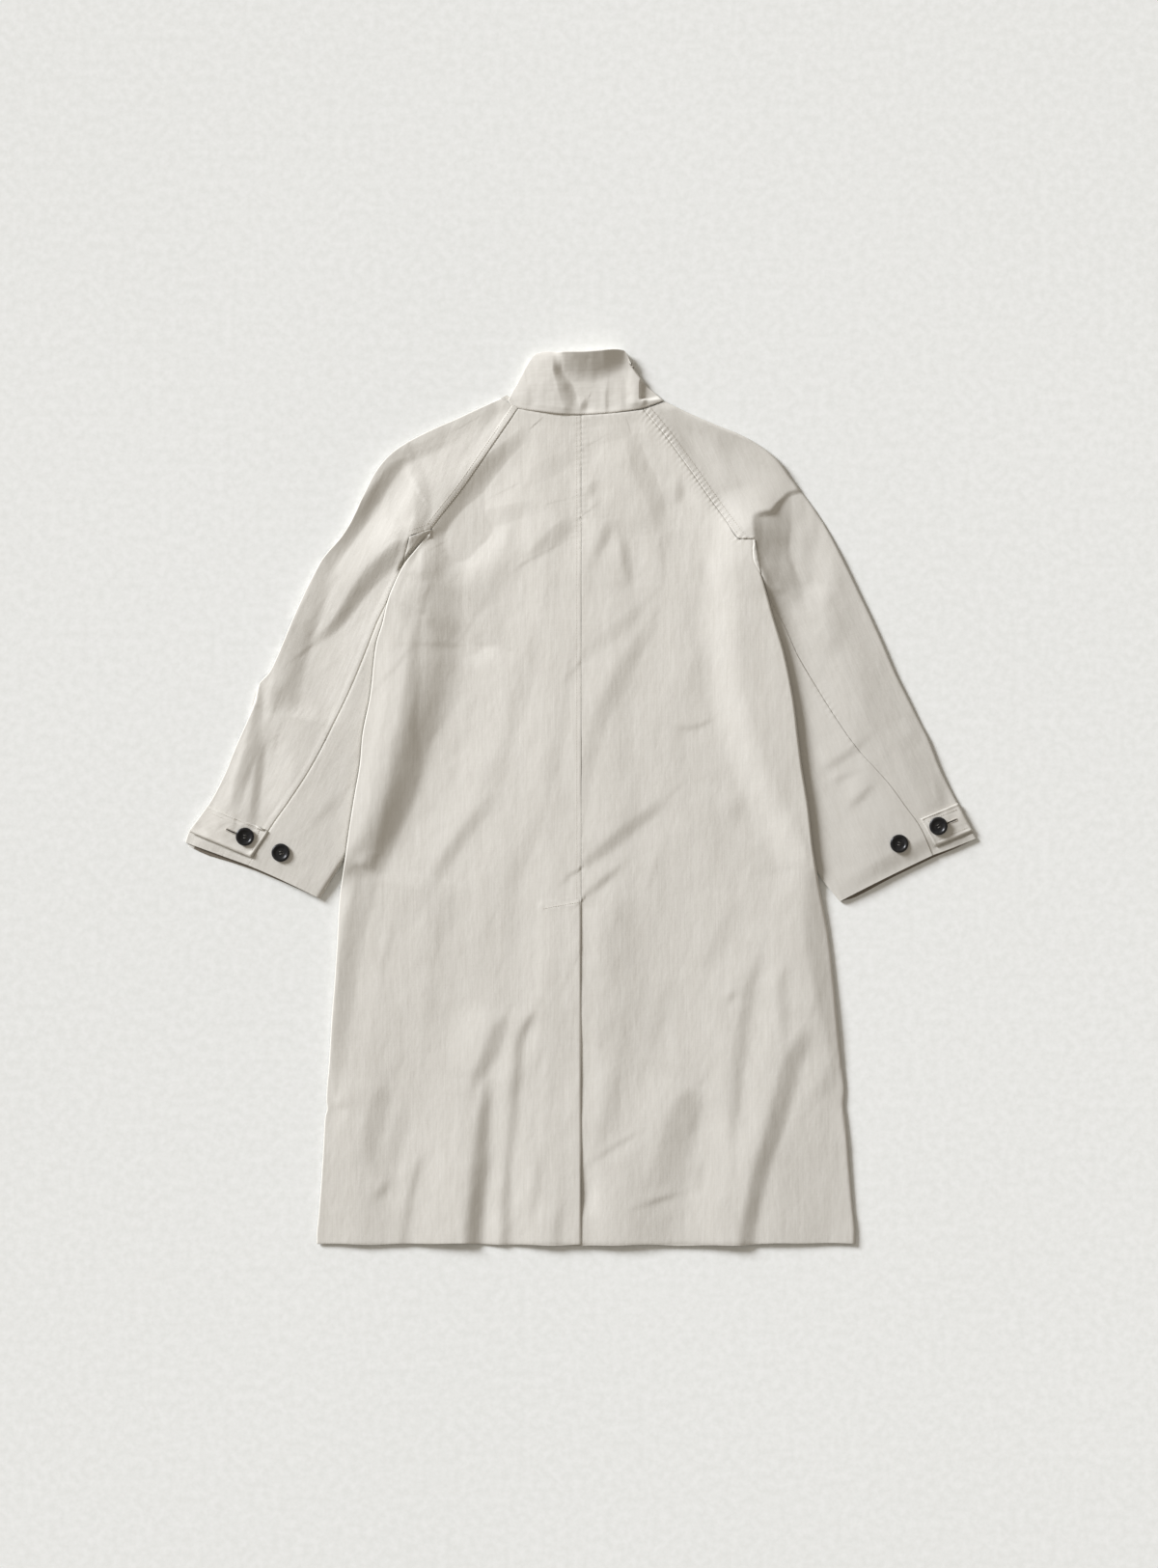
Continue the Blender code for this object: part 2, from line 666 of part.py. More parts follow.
def main():
    clear_scene()
    coat = collection("balmacaan_coat")
    cutters = collection("cutters")
    names = (
        "back_left", "back_right", "front_left", "front_right",
        "sleeve_left_back", "sleeve_left_front", "sleeve_right_back",
        "sleeve_right_front", "collar", "cuff_strap_left", "cuff_strap_right",
    )
    mats = {n: material(n, CLOTH_COLOUR, 0.85) for n in names}
    make_back_left(mats["back_left"], coat)
    make_back_right(mats["back_right"], coat)
    make_front("front_left", -1, False, mats["front_left"], coat)
    make_front("front_right", 1, True, mats["front_right"], coat)
    make_sleeve_back("sleeve_left_back", SLEEVE_LEFT, mats["sleeve_left_back"], coat)
    make_sleeve_back("sleeve_right_back", SLEEVE_RIGHT, mats["sleeve_right_back"], coat)
    make_sleeve_front("sleeve_left_front", SLEEVE_LEFT, UNDER_LEFT, WRAP_LEFT, -1, mats["sleeve_left_front"], coat)
    make_sleeve_front("sleeve_right_front", SLEEVE_RIGHT, UNDER_RIGHT, WRAP_RIGHT, 1, mats["sleeve_right_front"], coat)
    make_collar(mats["collar"], coat)
    make_strap("cuff_strap_left", STRAP_LEFT, 90.0, mats["cuff_strap_left"], coat)
    make_strap("cuff_strap_right", STRAP_RIGHT, 62.5, mats["cuff_strap_right"], coat)
    for name, x, y, z in BUTTONS:
        make_button(name, x, y, z, material(name, BUTTON_COLOUR, 0.3), coat, cutters)


main()
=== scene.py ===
"""The looks of a balmacaan coat laid flat with its back up: the creased cotton
shells, seams, stitching, collar, cuff straps and buttons, round its solids.

Tables give places in units of the picture plane, 1.28 mm each, x to the right
and y down, as seen from straight above. Heights and widths that say so are in
millimetres; meshes are made in metres.
"""

import math
import random

import bmesh
import bpy
import numpy as np
from mathutils import Matrix, Vector


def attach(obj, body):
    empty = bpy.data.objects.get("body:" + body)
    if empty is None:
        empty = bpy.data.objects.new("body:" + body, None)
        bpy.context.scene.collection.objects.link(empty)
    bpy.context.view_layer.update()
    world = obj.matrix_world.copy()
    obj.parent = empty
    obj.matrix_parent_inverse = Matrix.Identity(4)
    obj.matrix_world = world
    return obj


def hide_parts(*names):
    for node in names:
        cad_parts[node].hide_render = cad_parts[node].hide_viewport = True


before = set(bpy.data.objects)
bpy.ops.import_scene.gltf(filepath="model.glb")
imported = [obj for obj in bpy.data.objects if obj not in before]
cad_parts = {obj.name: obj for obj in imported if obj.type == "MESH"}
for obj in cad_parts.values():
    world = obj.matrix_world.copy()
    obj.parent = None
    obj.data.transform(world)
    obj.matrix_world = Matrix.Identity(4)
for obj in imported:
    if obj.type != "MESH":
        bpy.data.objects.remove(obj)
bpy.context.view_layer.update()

# ---------------------------------------------------------------- sizes
UNIT = 1.28  # millimetres in one unit of the picture plane
CENTRE = (601.5, 826.5)
MM = 0.001
THICK = 0.9  # body and sleeve cloth, mm
COLLAR_THICK = 2.0
STRAP_THICK = 1.9
SEAM_X = 1.2  # centre-back seam, mm
VENT_TOP = 932.5  # picture units
Z_SEWN = 6.6  # where back and sleeves are sewn together, mm
Z_FLAT = 6.2  # back ply over the fronts
Z_CENTRE = 7.6  # back ply over the lapped fronts
Z_OVER = 13.4  # back ply over a sleeve
Z_STRIP = 2.9  # sleeve where the body lies on it
LIGHT = (0.82, -0.572)  # the way the light travels over the floor

# ---------------------------------------------------------------- outlines
NECK = [(524, 419.2), (537, 424), (560, 427.6), (582, 430), (602, 430.8), (630, 429.2), (648, 427), (662.5, 424.7), (676, 420.5), (690, 416)]
RAGLAN_LEFT = [(537, 424), (518, 452), (498, 481), (480, 506.5), (463, 528), (447, 548.5)]
TURN_LEFT = [(447, 548.5), (435.8, 552.5), (424.5, 556.5)]
RAGLAN_RIGHT = [(667, 425), (683, 444), (692, 455.5), (704, 472), (717, 490), (735, 516), (752, 540), (766, 558.8)]
TURN_RIGHT = [(766, 558.8), (774, 559.8), (782, 560)]
EDGE_LEFT = [
    (446.4, 550.4), (431, 570), (418.5, 586), (409, 605), (402.5, 621), (396.5, 646), (390, 668), (384, 720),
    (375.5, 765), (373.4, 790), (367.5, 825), (362, 860), (357.8, 890), (351.4, 936), (349, 980), (346.4, 1020),
    (344, 1050), (341, 1100), (338.2, 1140), (339.0, 1149), (337.0, 1156), (335.0, 1190), (332.4, 1230),
    (329.8, 1262), (328.2, 1280), (328.4, 1288.6),
]
EDGE_RIGHT = [
    (781, 561), (780, 570), (780.4, 577.5), (789, 598), (795, 617), (801.5, 640), (812.5, 677), (823, 731),
    (826.7, 762), (830.4, 792), (837.8, 839), (842.4, 880), (847, 906), (853, 936), (858, 963), (864.8, 1020),
    (867.8, 1052), (872.5, 1100), (875.6, 1130), (874.8, 1144), (876.6, 1160), (878.6, 1180), (881.2, 1215),
    (884.4, 1255), (886.6, 1277), (886.4, 1288.4),
]
OUTER_LEFT = [
    (519, 413), (496, 423.4), (473, 434), (449, 444.6), (427, 455.5), (413, 464), (402, 473), (389, 489), (377, 512),
    (358, 550), (333, 581), (320, 605), (304, 640), (286, 683), (279, 697), (268.5, 709), (264.5, 726), (257, 745),
    (246, 770), (230.5, 807), (216.5, 833), (203.8, 850), (195.6, 862), (192, 873),
]
OUTER_RIGHT = [
    (690, 416.4), (715, 428.6), (740, 439.4), (763, 448.6), (778, 456), (792, 465), (807, 478), (820, 495.6), (831.5, 511),
    (845, 529.5), (858, 550), (877, 586), (890, 613), (903, 640), (916, 669), (928, 697), (943, 727), (954, 749.5),
    (963, 767), (974, 795), (983, 814), (992, 831), (1001, 848), (1012, 868.7),
]
UNDER_LEFT = [(424.5, 556.5), (421, 572), (414, 596), (403, 621), (391, 646), (379, 677), (366, 709), (348, 747), (322, 797), (302, 828), (283, 855), (270, 876), (258, 897)]
UNDER_RIGHT = [(782, 560), (785, 580), (791, 606), (803, 632), (812, 648), (827, 681), (831.5, 688), (849, 718), (866, 745), (889.5, 778), (906, 796), (921, 813), (937, 835), (952, 856), (966, 886.4)]
FOLD_LEFT = [(446, 551), (442, 580), (440, 610), (441, 660), (433, 710), (420, 760), (401, 810), (379, 855), (357.8, 889), (331, 931)]
FOLD_RIGHT = [(766, 562), (768, 580), (764, 610), (762, 660), (768, 710), (781, 760), (800, 810), (823, 860), (846, 904), (870.5, 933.8)]

# Rows across the back: the height on the centre seam and the outer point
ROWS_BACK_LEFT = [  # y_centre, x_edge, y_edge
    (430.8, 537, 424), (452, 518, 452), (481, 498, 481), (506.5, 480, 506.5), (529, 463, 528), (551, 446.4, 550.4),
    (570, 431, 570), (586, 418.5, 586), (605, 409, 605), (621, 402.5, 621), (646, 396.5, 646), (668, 390, 668),
    (720, 384, 720), (765, 375.5, 765), (790, 373.4, 790), (825, 367.5, 825), (860, 362, 860), (889, 357.8, 890),
    (932.5, 351.4, 936), (979, 349, 980), (1020, 346.4, 1020), (1050, 344, 1050), (1100, 341, 1100), (1140, 338.2, 1140),
    (1149, 339.0, 1149), (1156, 337.0, 1156), (1190, 335.0, 1190), (1230, 332.4, 1230), (1262, 329.8, 1262),
    (1280, 328.2, 1280), (1289.6, 328.4, 1288.6),
]
ROWS_BACK_RIGHT = [  # y_centre, x_edge, y_edge
    (430.8, 667, 425), (446, 683, 444), (457, 692, 455.5), (473, 704, 472), (490, 717, 490), (516, 735, 516), (540, 752, 540),
    (557, 766, 559.1), (561.5, 781, 560.4), (569, 780, 570), (577, 780.4, 577.5), (598, 789, 598), (617, 795, 617),
    (640, 801.5, 640), (677, 812.5, 677), (731, 823, 731), (762, 826.7, 762), (792, 830.4, 792), (839, 837.8, 839),
    (880, 842.4, 880), (905, 847, 906), (932.5, 853, 936), (963, 858, 963), (1020, 864.8, 1020), (1052, 867.8, 1052),
    (1100, 872.5, 1100), (1130, 875.6, 1130), (1144, 874.8, 1144), (1160, 876.6, 1160), (1180, 878.6, 1180),
    (1215, 881.2, 1215), (1255, 884.4, 1255), (1277, 886.6, 1277), (1291, 886.4, 1288.4),
]
# Rows across a sleeve: the overarm edge and the seam on its other side
ROWS_SLEEVE_LEFT = [  # x_outer, y_outer, x_inner, y_inner
    (519, 413, 536.7, 423.6), (496, 423.4, 527, 438.5), (473, 434, 518, 452), (449, 444.6, 507, 468), (427, 455.5, 498, 481), (413, 464, 489, 494),
    (402, 473, 480, 506.5), (389, 489, 463, 528), (377, 512, 447, 548.5), (366.5, 533, 435.8, 552.5), (358, 550, 424.5, 556.5),
    (345, 566, 421, 572), (333, 581, 414, 596), (320, 605, 403, 621), (304, 640, 391, 646), (295, 662, 379, 677),
    (286, 683, 366, 709), (279, 697, 358, 726), (268.5, 709, 348, 747), (257, 745, 334, 774), (246, 770, 322, 797),
    (230.5, 807, 302, 828), (216.5, 833, 283, 855), (203.8, 850, 270, 876), (195.6, 862, 264, 886), (192, 873, 258, 897),
]
ROWS_SLEEVE_RIGHT = [  # x_outer, y_outer, x_inner, y_inner
    (690, 416.4, 667, 425), (702, 422.4, 674, 433.6), (715, 428.6, 683, 444), (740, 439.4, 692, 455.5), (763, 448.6, 704, 472), (778, 456, 717, 490),
    (792, 465, 726, 503), (807, 478, 735, 516), (820, 495.6, 744, 528.6), (831.5, 511, 752, 540), (845, 529.5, 766, 558.8), (851.5, 539.5, 774, 559.8),
    (858, 550, 782, 560), (867, 567, 785, 580), (877, 586, 791, 606), (890, 613, 803, 632), (903, 640, 812, 648),
    (916, 669, 827, 681), (928, 697, 849, 718), (943, 727, 866, 745), (954, 749.5, 889.5, 778), (963, 767, 906, 796),
    (974, 795, 921, 813), (983, 814, 937, 835), (996, 839, 952, 856), (1012, 868.7, 966, 886.4),
]
# The front sleeve piece comes round the sleeve's inner fold to that seam
ROWS_STRIP_LEFT = [  # x_seam, y_seam, x_fold, y_fold
    (424.5, 556.7, 446.6, 549.0), (421, 572, 442, 580), (414, 596, 440, 610), (403, 621, 440, 636), (391, 646, 441, 660),
    (379, 677, 437, 690), (366, 709, 430, 728), (348, 747, 417, 770), (322, 797, 398, 817), (302, 828, 379, 855),
    (283, 855, 357.8, 889), (270, 876, 344, 911), (258, 897, 331, 931),
]
ROWS_STRIP_RIGHT = [  # x_seam, y_seam, x_fold, y_fold
    (782, 560, 766, 562), (785, 580, 768, 580), (791, 606, 764, 610), (803, 632, 762, 640), (812, 648, 762, 660),
    (827, 681, 765, 694), (849, 718, 773, 738), (866, 745, 785, 772), (889.5, 778, 795, 800), (906, 796, 806, 824),
    (921, 813, 819.5, 852), (937, 835, 836, 884), (952, 856, 853, 912), (966, 886.4, 870.5, 933.8),
]

# ---------------------------------------------------------------- folds
# Each fold is a slope that falls away from the light. Its rows give a place,
# the slope's width and its drop in mm; before and after are how far the cloth
# takes to rise again on each side, and share is how much of the drop stands
# above the cloth. Layers: b body, s sleeves, a both, c collar.
FOLDS = [  # layers, before, after, share, rows of (x, y, width, drop)
    # left sleeve
    ("s", 30, 34, 0.42, [(432, 475, 6, 0.0), (418, 479, 9, 2.0), (410, 485, 13, 3.8), (399, 499, 15, 5.0), (386, 518, 17, 5.4), (373, 536, 19, 5.4), (357, 560, 18, 5.6), (341, 585, 17, 6.0), (331, 610, 19, 6.4), (320, 640, 23, 7.0), (308, 672, 27, 7.4), (299, 705, 31, 7.4), (295, 726, 30, 5.6), (292, 741, 24, 0.4)]),
    ("s", 30, 30, 0.6, [(428, 556, 8, 1.2), (416, 566, 15, 5.0), (404, 579, 20, 6.6), (388, 595, 20, 6.8), (371, 615, 17, 6.4), (357, 636, 14, 5.6), (343, 653, 11, 3.8), (328, 665, 8, 0.6)]),
    ("s", 20, 24, 0.4, [(270, 710, 7, 0.6), (268, 738, 11, 3.4), (262, 770, 14, 4.4), (254, 800, 15, 4.6), (247, 822, 13, 3.0), (245, 842, 10, 0.5)]),
    ("s", 14, 20, 0.4, [(274, 760, 7, 0.2), (270, 790, 9, 2.6), (266, 820, 10, 3.2), (262, 850, 9, 1.6), (259, 864, 8, 0.4)]),
    ("s", 12, 16, 0.5, [(357, 822, 8, 0.2), (342, 838, 10, 1.3), (322, 858, 9, 0.2)]),
    ("a", 30, 46, 0.4, [(427, 470, 5, 0.3), (433, 488, 14, 2.6), (437, 510, 17, 3.4), (439, 532, 18, 5.0), (435, 556, 17, 5.6), (428, 576, 9, 2.6), (423, 590, 5, 0.3)]),
    ("s", 18, 24, 0.5, [(310, 690, 14, 0.2), (330, 716, 16, 0.9), (336, 752, 14, 0.2)]),
    ("s", 26, 20, 0.5, [(470, 448, 14, 0.2), (440, 466, 16, 1.6), (410, 474, 14, 0.8), (398, 478, 10, 0.1)]),
    # right sleeve
    ("s", 26, 30, 0.5, [(806, 612, 8, 0.3), (812, 628, 16, 2.0), (816, 650, 18, 1.6), (820, 668, 14, 0.2)]),
    ("s", 20, 26, 0.5, [(838, 630, 16, 0.2), (862, 640, 18, 1.6), (868, 660, 16, 1.5), (856, 684, 14, 0.2)]),
    ("s", 16, 18, 0.5, [(936, 742, 8, 0.2), (948, 754, 10, 1.4), (958, 768, 9, 0.2)]),
    ("s", 12, 14, 0.5, [(904, 760, 6, 0.1), (884, 778, 8, 1.2), (866, 790, 9, 1.4), (852, 802, 8, 0.2)]),
    ("s", 9, 12, 0.5, [(888, 800, 6, 0.1), (872, 806, 7, 1.0), (860, 814, 7, 0.1)]),
    ("s", 9, 12, 0.5, [(906, 812, 6, 0.1), (892, 826, 8, 1.5), (880, 840, 7, 0.2)]),
    ("s", 14, 18, 0.5, [(746, 446, 8, 0.1), (766, 452, 9, 1.2), (786, 458, 8, 0.2)]),
    ("s", 22, 24, 0.5, [(700, 430, 12, 0.2), (730, 446, 14, 1.3), (776, 474, 14, 0.2)]),
    ("s", 18, 22, 0.5, [(968, 800, 8, 0.2), (976, 826, 10, 1.4), (980, 838, 8, 0.2)]),
    ("s", 24, 26, 0.5, [(880, 690, 14, 0.2), (898, 724, 16, 1.2), (912, 764, 12, 0.2)]),
    # body, left of the seam
    ("a", 42, 26, 0.46, [(548, 446, 14, 0.4), (529, 463, 16, 2.8), (508, 483, 22, 5.8), (490, 503, 27, 8.6), (476, 523, 32, 10.4), (467, 542, 36, 10.6), (459, 562, 35, 10.6), (452, 582, 31, 7.0), (446, 604, 18, 0.6)]),
    ("b", 40, 60, 0.5, [(532, 590, 20, 0.3), (506, 604, 42, 2.6), (476, 620, 54, 3.8), (452, 638, 60, 4.0), (440, 656, 50, 2.2), (428, 670, 30, 0.4)]),
    ("b", 30, 50, 0.5, [(478, 664, 30, 0.4), (464, 688, 42, 2.2), (456, 708, 46, 3.0), (448, 740, 44, 4.6), (440, 768, 30, 3.2), (436, 790, 14, 0.4)]),
    ("b", 30, 20, 0.5, [(562, 524, 14, 0.2), (530, 532, 18, 2.2), (500, 540, 20, 2.6), (478, 552, 16, 0.4)]),
    ("b", 26, 20, 0.5, [(596, 540, 12, 0.4), (580, 552, 18, 2.4), (562, 568, 16, 2.2), (548, 580, 12, 0.3)]),
    ("b", 30, 30, 0.5, [(596, 470, 14, 0.2), (572, 484, 20, 1.6), (540, 500, 16, 0.2)]),
    ("b", 30, 14, 0.5, [(516, 668, 8, 0.6), (496, 660, 18, 2.8), (470, 650, 22, 2.2), (444, 638, 18, 0.6)]),
    ("b", 7, 8, 0.5, [(420, 668, 4, 0.2), (450, 668, 5, 0.7), (486, 670, 5, 0.7), (514, 667, 4, 0.2)]),
    ("b", 36, 70, 0.5, [(434, 640, 8, 0.4), (431, 668, 12, 2.6), (429, 700, 15, 4.0), (424, 738, 18, 4.6), (421, 770, 28, 6.2), (421, 800, 34, 7.2), (415, 825, 30, 7.0), (407, 850, 25, 6.6), (399, 875, 21, 5.6), (392, 896, 17, 3.6), (389, 912, 12, 0.4)]),
    ("b", 8, 10, 0.5, [(369, 893, 4, 0.2), (374, 897, 6, 1.8), (384, 900, 5, 0.4)]),
    ("b", 22, 24, 0.5, [(512, 820, 10, 0.2), (492, 850, 14, 2.0), (464, 888, 14, 2.2), (440, 930, 12, 0.3)]),
    ("b", 30, 30, 0.5, [(560, 840, 12, 0.2), (545, 880, 16, 1.2), (520, 930, 14, 0.2)]),
    ("b", 8, 60, 0.7, [(384, 905, 20, 1.0), (373, 940, 24, 4.0), (364, 985, 22, 4.4), (358, 1030, 18, 3.6), (353, 1080, 14, 1.8), (348, 1120, 10, 0.2)]),
    ("b", 30, 60, 0.5, [(396, 1010, 40, 0.4), (385, 1060, 62, 2.2), (380, 1120, 64, 2.6), (380, 1200, 60, 2.2), (384, 1292, 50, 1.4)]),
    ("b", 26, 30, 0.5, [(404, 1124, 12, 0.2), (396, 1140, 20, 2.4), (388, 1165, 22, 2.4), (383, 1190, 18, 1.6), (378, 1210, 14, 0.2)]),
    ("b", 26, 16, 0.6, [(526, 1050, 8, 0.3), (517, 1070, 18, 3.2), (510, 1088, 18, 3.4), (500, 1106, 14, 3.0), (490, 1126, 12, 1.6), (486, 1142, 9, 0.3)]),
    ("b", 40, 40, 0.5, [(578, 1036, 40, 0.4), (562, 1072, 60, 2.8), (558, 1112, 60, 2.4), (552, 1152, 40, 0.4)]),
    ("b", 36, 22, 0.56, [(505, 1118, 8, 0.3), (504, 1138, 12, 3.4), (501, 1165, 15, 4.8), (499, 1200, 18, 6.0), (495, 1235, 18, 6.8), (492, 1262, 18, 7.2), (490, 1292, 18, 7.2)]),
    ("b", 10, 16, 0.5, [(556, 1046, 6, 0.2), (546, 1062, 8, 2.4), (539, 1080, 9, 2.8), (536, 1110, 9, 2.2), (532, 1150, 9, 1.8), (528, 1195, 9, 2.0), (525, 1240, 10, 2.8), (524, 1292, 11, 3.2)]),
    ("b", 10, 12, 0.5, [(564, 1062, 6, 0.1), (560, 1090, 8, 0.9), (556, 1125, 8, 0.2)]),
    ("b", 9, 12, 0.5, [(438, 1190, 5, 0.2), (433, 1212, 7, 1.5), (426, 1240, 7, 1.3), (419, 1282, 7, 1.0), (417, 1291, 7, 0.9)]),
    ("b", 9, 10, 0.5, [(402, 1222, 5, 0.1), (396, 1234, 6, 1.3), (388, 1244, 5, 0.1)]),
    ("b", 14, 14, 0.5, [(560, 1190, 7, 0.2), (557, 1220, 8, 1.2), (553, 1248, 7, 0.8), (549, 1262, 7, 0.1)]),
    ("b", 12, 12, 0.5, [(584, 1240, 6, 0.2), (580, 1262, 7, 1.2), (578, 1291, 7, 1.3)]),
    ("b", 34, 36, 0.5, [(470, 900, 14, 0.2), (458, 970, 18, 1.3), (446, 1040, 18, 1.2), (440, 1100, 14, 0.2)]),
    ("b", 10, 14, 0.5, [(344, 1142, 4, 0.3), (352, 1146, 6, 1.2), (362, 1150, 5, 0.1)]),
    ("b", 28, 28, 0.5, [(424, 1130, 12, 0.2), (416, 1170, 16, 1.4), (404, 1215, 14, 0.3)]),
    ("b", 30, 34, 0.5, [(560, 640, 14, 0.2), (545, 700, 20, 1.5), (528, 760, 18, 1.3), (512, 820, 14, 0.2)]),
    ("b", 26, 30, 0.5, [(590, 700, 12, 0.2), (580, 760, 16, 1.2), (566, 830, 14, 0.2)]),
    # body, right of the seam
    ("b", 26, 36, 0.5, [(654, 452, 10, 0.3), (660, 474, 18, 3.2), (671, 500, 20, 3.8), (681, 526, 18, 3.0), (684, 552, 12, 0.4)]),
    ("b", 12, 14, 0.5, [(703, 490, 7, 0.2), (705, 507, 10, 1.6), (702, 524, 8, 0.2)]),
    ("b", 10, 12, 0.5, [(616, 496, 6, 0.1), (613, 507, 9, 1.3), (608, 520, 7, 0.1)]),
    ("b", 12, 14, 0.5, [(630, 538, 7, 0.2), (628, 553, 11, 1.8), (622, 568, 9, 1.2), (616, 580, 7, 0.1)]),
    ("b", 10, 12, 0.5, [(642, 550, 6, 0.2), (648, 572, 11, 2.2), (652, 596, 9, 1.6), (654, 610, 6, 0.1)]),
    ("b", 26, 20, 0.5, [(668, 626, 10, 0.2), (650, 644, 15, 1.3), (628, 662, 16, 1.4), (608, 678, 12, 0.7), (603, 684, 9, 0.4)]),
    ("b", 20, 26, 0.55, [(676, 645, 12, 0.3), (663, 668, 16, 1.5), (651, 686, 18, 1.9), (636, 720, 19, 1.9), (620, 752, 18, 1.7), (611, 785, 14, 1.4), (607, 815, 10, 0.7), (605, 840, 8, 0.2)]),
    ("b", 8, 10, 0.5, [(697, 752, 4, 0.1), (712, 755, 5, 0.9), (728, 751, 5, 0.9), (740, 744, 4, 0.1)]),
    ("b", 24, 22, 0.5, [(690, 828, 9, 0.3), (670, 845, 13, 2.2), (648, 862, 14, 2.4), (624, 882, 13, 2.4), (606, 896, 10, 1.0)]),
    ("b", 12, 14, 0.5, [(646, 896, 6, 0.2), (628, 911, 8, 1.8), (608, 928, 7, 1.0)]),
    ("b", 30, 32, 0.5, [(772, 818, 10, 0.2), (764, 840, 16, 1.5), (752, 862, 14, 0.2)]),
    ("b", 34, 36, 0.5, [(742, 640, 16, 0.2), (724, 700, 22, 1.3), (706, 780, 16, 0.2)]),
    ("b", 50, 44, 0.56, [(838, 1060, 12, 0.4), (829, 1084, 19, 3.6), (818, 1110, 22, 5.4), (810, 1140, 22, 6.0), (799, 1178, 20, 6.2), (790, 1206, 19, 6.4), (782, 1240, 18, 6.4), (777, 1264, 17, 6.0), (773, 1292, 17, 5.6)]),
    ("b", 14, 16, 0.5, [(812, 1000, 7, 0.2), (810, 1020, 10, 1.8), (812, 1050, 11, 1.8), (815, 1080, 9, 0.4)]),
    ("b", 26, 16, 0.55, [(790, 985, 9, 0.2), (778, 1020, 13, 2.2), (770, 1065, 14, 2.6), (764, 1115, 14, 2.4), (760, 1165, 12, 2.0), (758, 1200, 10, 0.8), (756, 1230, 8, 0.2)]),
    ("b", 30, 30, 0.5, [(724, 1128, 14, 0.4), (715, 1144, 30, 4.0), (704, 1178, 38, 5.0), (696, 1210, 40, 4.8), (687, 1238, 44, 4.0), (682, 1292, 50, 3.6)]),
    ("b", 40, 60, 0.5, [(868, 1110, 26, 0.4), (852, 1160, 50, 3.0), (836, 1220, 60, 3.6), (828, 1292, 56, 3.4)]),
    ("b", 50, 50, 0.5, [(668, 930, 30, 0.4), (650, 980, 50, 2.6), (640, 1040, 56, 2.8), (640, 1100, 44, 0.5)]),
    ("b", 12, 14, 0.5, [(716, 1142, 7, 0.2), (718, 1162, 8, 1.4), (714, 1184, 7, 0.2)]),
    ("b", 5, 7, 0.5, [(664, 1250, 4, 0.3), (684, 1243, 5, 1.3), (704, 1237, 4, 0.2)]),
    ("b", 5, 5, 0.5, [(664, 1172, 3, 0.2), (640, 1186, 3.5, 0.7), (612, 1205, 3, 0.2)]),
    ("b", 30, 30, 0.5, [(640, 1100, 12, 0.2), (630, 1150, 16, 1.1), (616, 1210, 12, 0.2)]),
    ("b", 7, 9, 0.5, [(762, 1024, 4, 0.2), (758, 1033, 6, 1.2), (752, 1040, 4, 0.1)]),
    ("b", 60, 10, 0.75, [(838, 900, 12, 0.6), (842, 930, 20, 3.4), (846, 975, 24, 5.0), (853, 1020, 22, 4.8), (861, 1065, 16, 3.2), (868, 1105, 12, 1.6), (872, 1140, 8, 0.3)]),
    ("b", 28, 30, 0.5, [(700, 1010, 12, 0.2), (686, 1050, 18, 1.6), (672, 1095, 14, 0.2)]),
    ("b", 26, 26, 0.5, [(760, 930, 12, 0.2), (746, 975, 16, 1.4), (732, 1010, 14, 0.2)]),
    ("b", 20, 26, 0.5, [(864, 1100, 10, 0.3), (858, 1122, 14, 1.6), (846, 1140, 12, 0.2)]),
    ("b", 20, 24, 0.5, [(732, 1190, 10, 0.2), (726, 1215, 14, 1.2), (716, 1240, 10, 0.2)]),
    # collar
    ("c", 6, 6, 0.5, [(609, 414, 5, 0.3), (605, 422, 7, 1.8), (603, 434, 6, 1.6)]),
    ("c", 5, 6, 0.5, [(630, 398, 3, 0.2), (629, 412, 4, 0.9), (629, 430, 4, 1.0)]),
    ("c", 5, 6, 0.5, [(646, 396, 4, 0.2), (646, 412, 6, 0.9), (646, 430, 5, 0.7)]),
    ("c", 12, 8, 0.5, [(546, 398, 4, 0.2), (548, 412, 6, 0.5), (547, 426, 5, 0.6)]),
]

SEAMS = {}


def S(t):
    t = np.clip(t, 0.0, 1.0)
    return t * t * (3 - 2 * t)


def flat(points):
    """Picture units to millimetres, keeping any further columns."""
    p = np.array(points, float)
    p[:, 0] = (p[:, 0] - CENTRE[0]) * UNIT
    p[:, 1] = (CENTRE[1] - p[:, 1]) * UNIT
    return p


def pchip(u, p, q):
    """Smooth values at q through rows p at u, with no overshoot."""
    h = np.diff(u)[:, None]
    d = np.diff(p, axis=0) / h
    m = np.zeros_like(p)
    m[0], m[-1] = d[0], d[-1]
    if len(p) > 2:
        w1, w2 = 2 * h[1:] + h[:-1], h[1:] + 2 * h[:-1]
        with np.errstate(divide="ignore", invalid="ignore"):
            mean = (w1 + w2) / (w1 / d[:-1] + w2 / d[1:])
        m[1:-1] = np.where(d[:-1] * d[1:] > 0, mean, 0.0)
    i = np.clip(np.searchsorted(u, q, side="right") - 1, 0, len(u) - 2)
    t = ((q - u[i]) / h[i, 0])[:, None]
    hi = h[i]
    return (
        (2 * t**3 - 3 * t**2 + 1) * p[i] + (t**3 - 2 * t**2 + t) * hi * m[i]
        + (3 * t**2 - 2 * t**3) * p[i + 1] + (t**3 - t**2) * hi * m[i + 1]
    )


def rule(at, table):
    """A smooth value at each place, from rows of place and value."""
    t = np.array(table, float)
    q = np.clip(np.ravel(at), t[0, 0], t[-1, 0])
    return pchip(t[:, 0], t[:, 1:], q)[:, 0].reshape(np.shape(at))


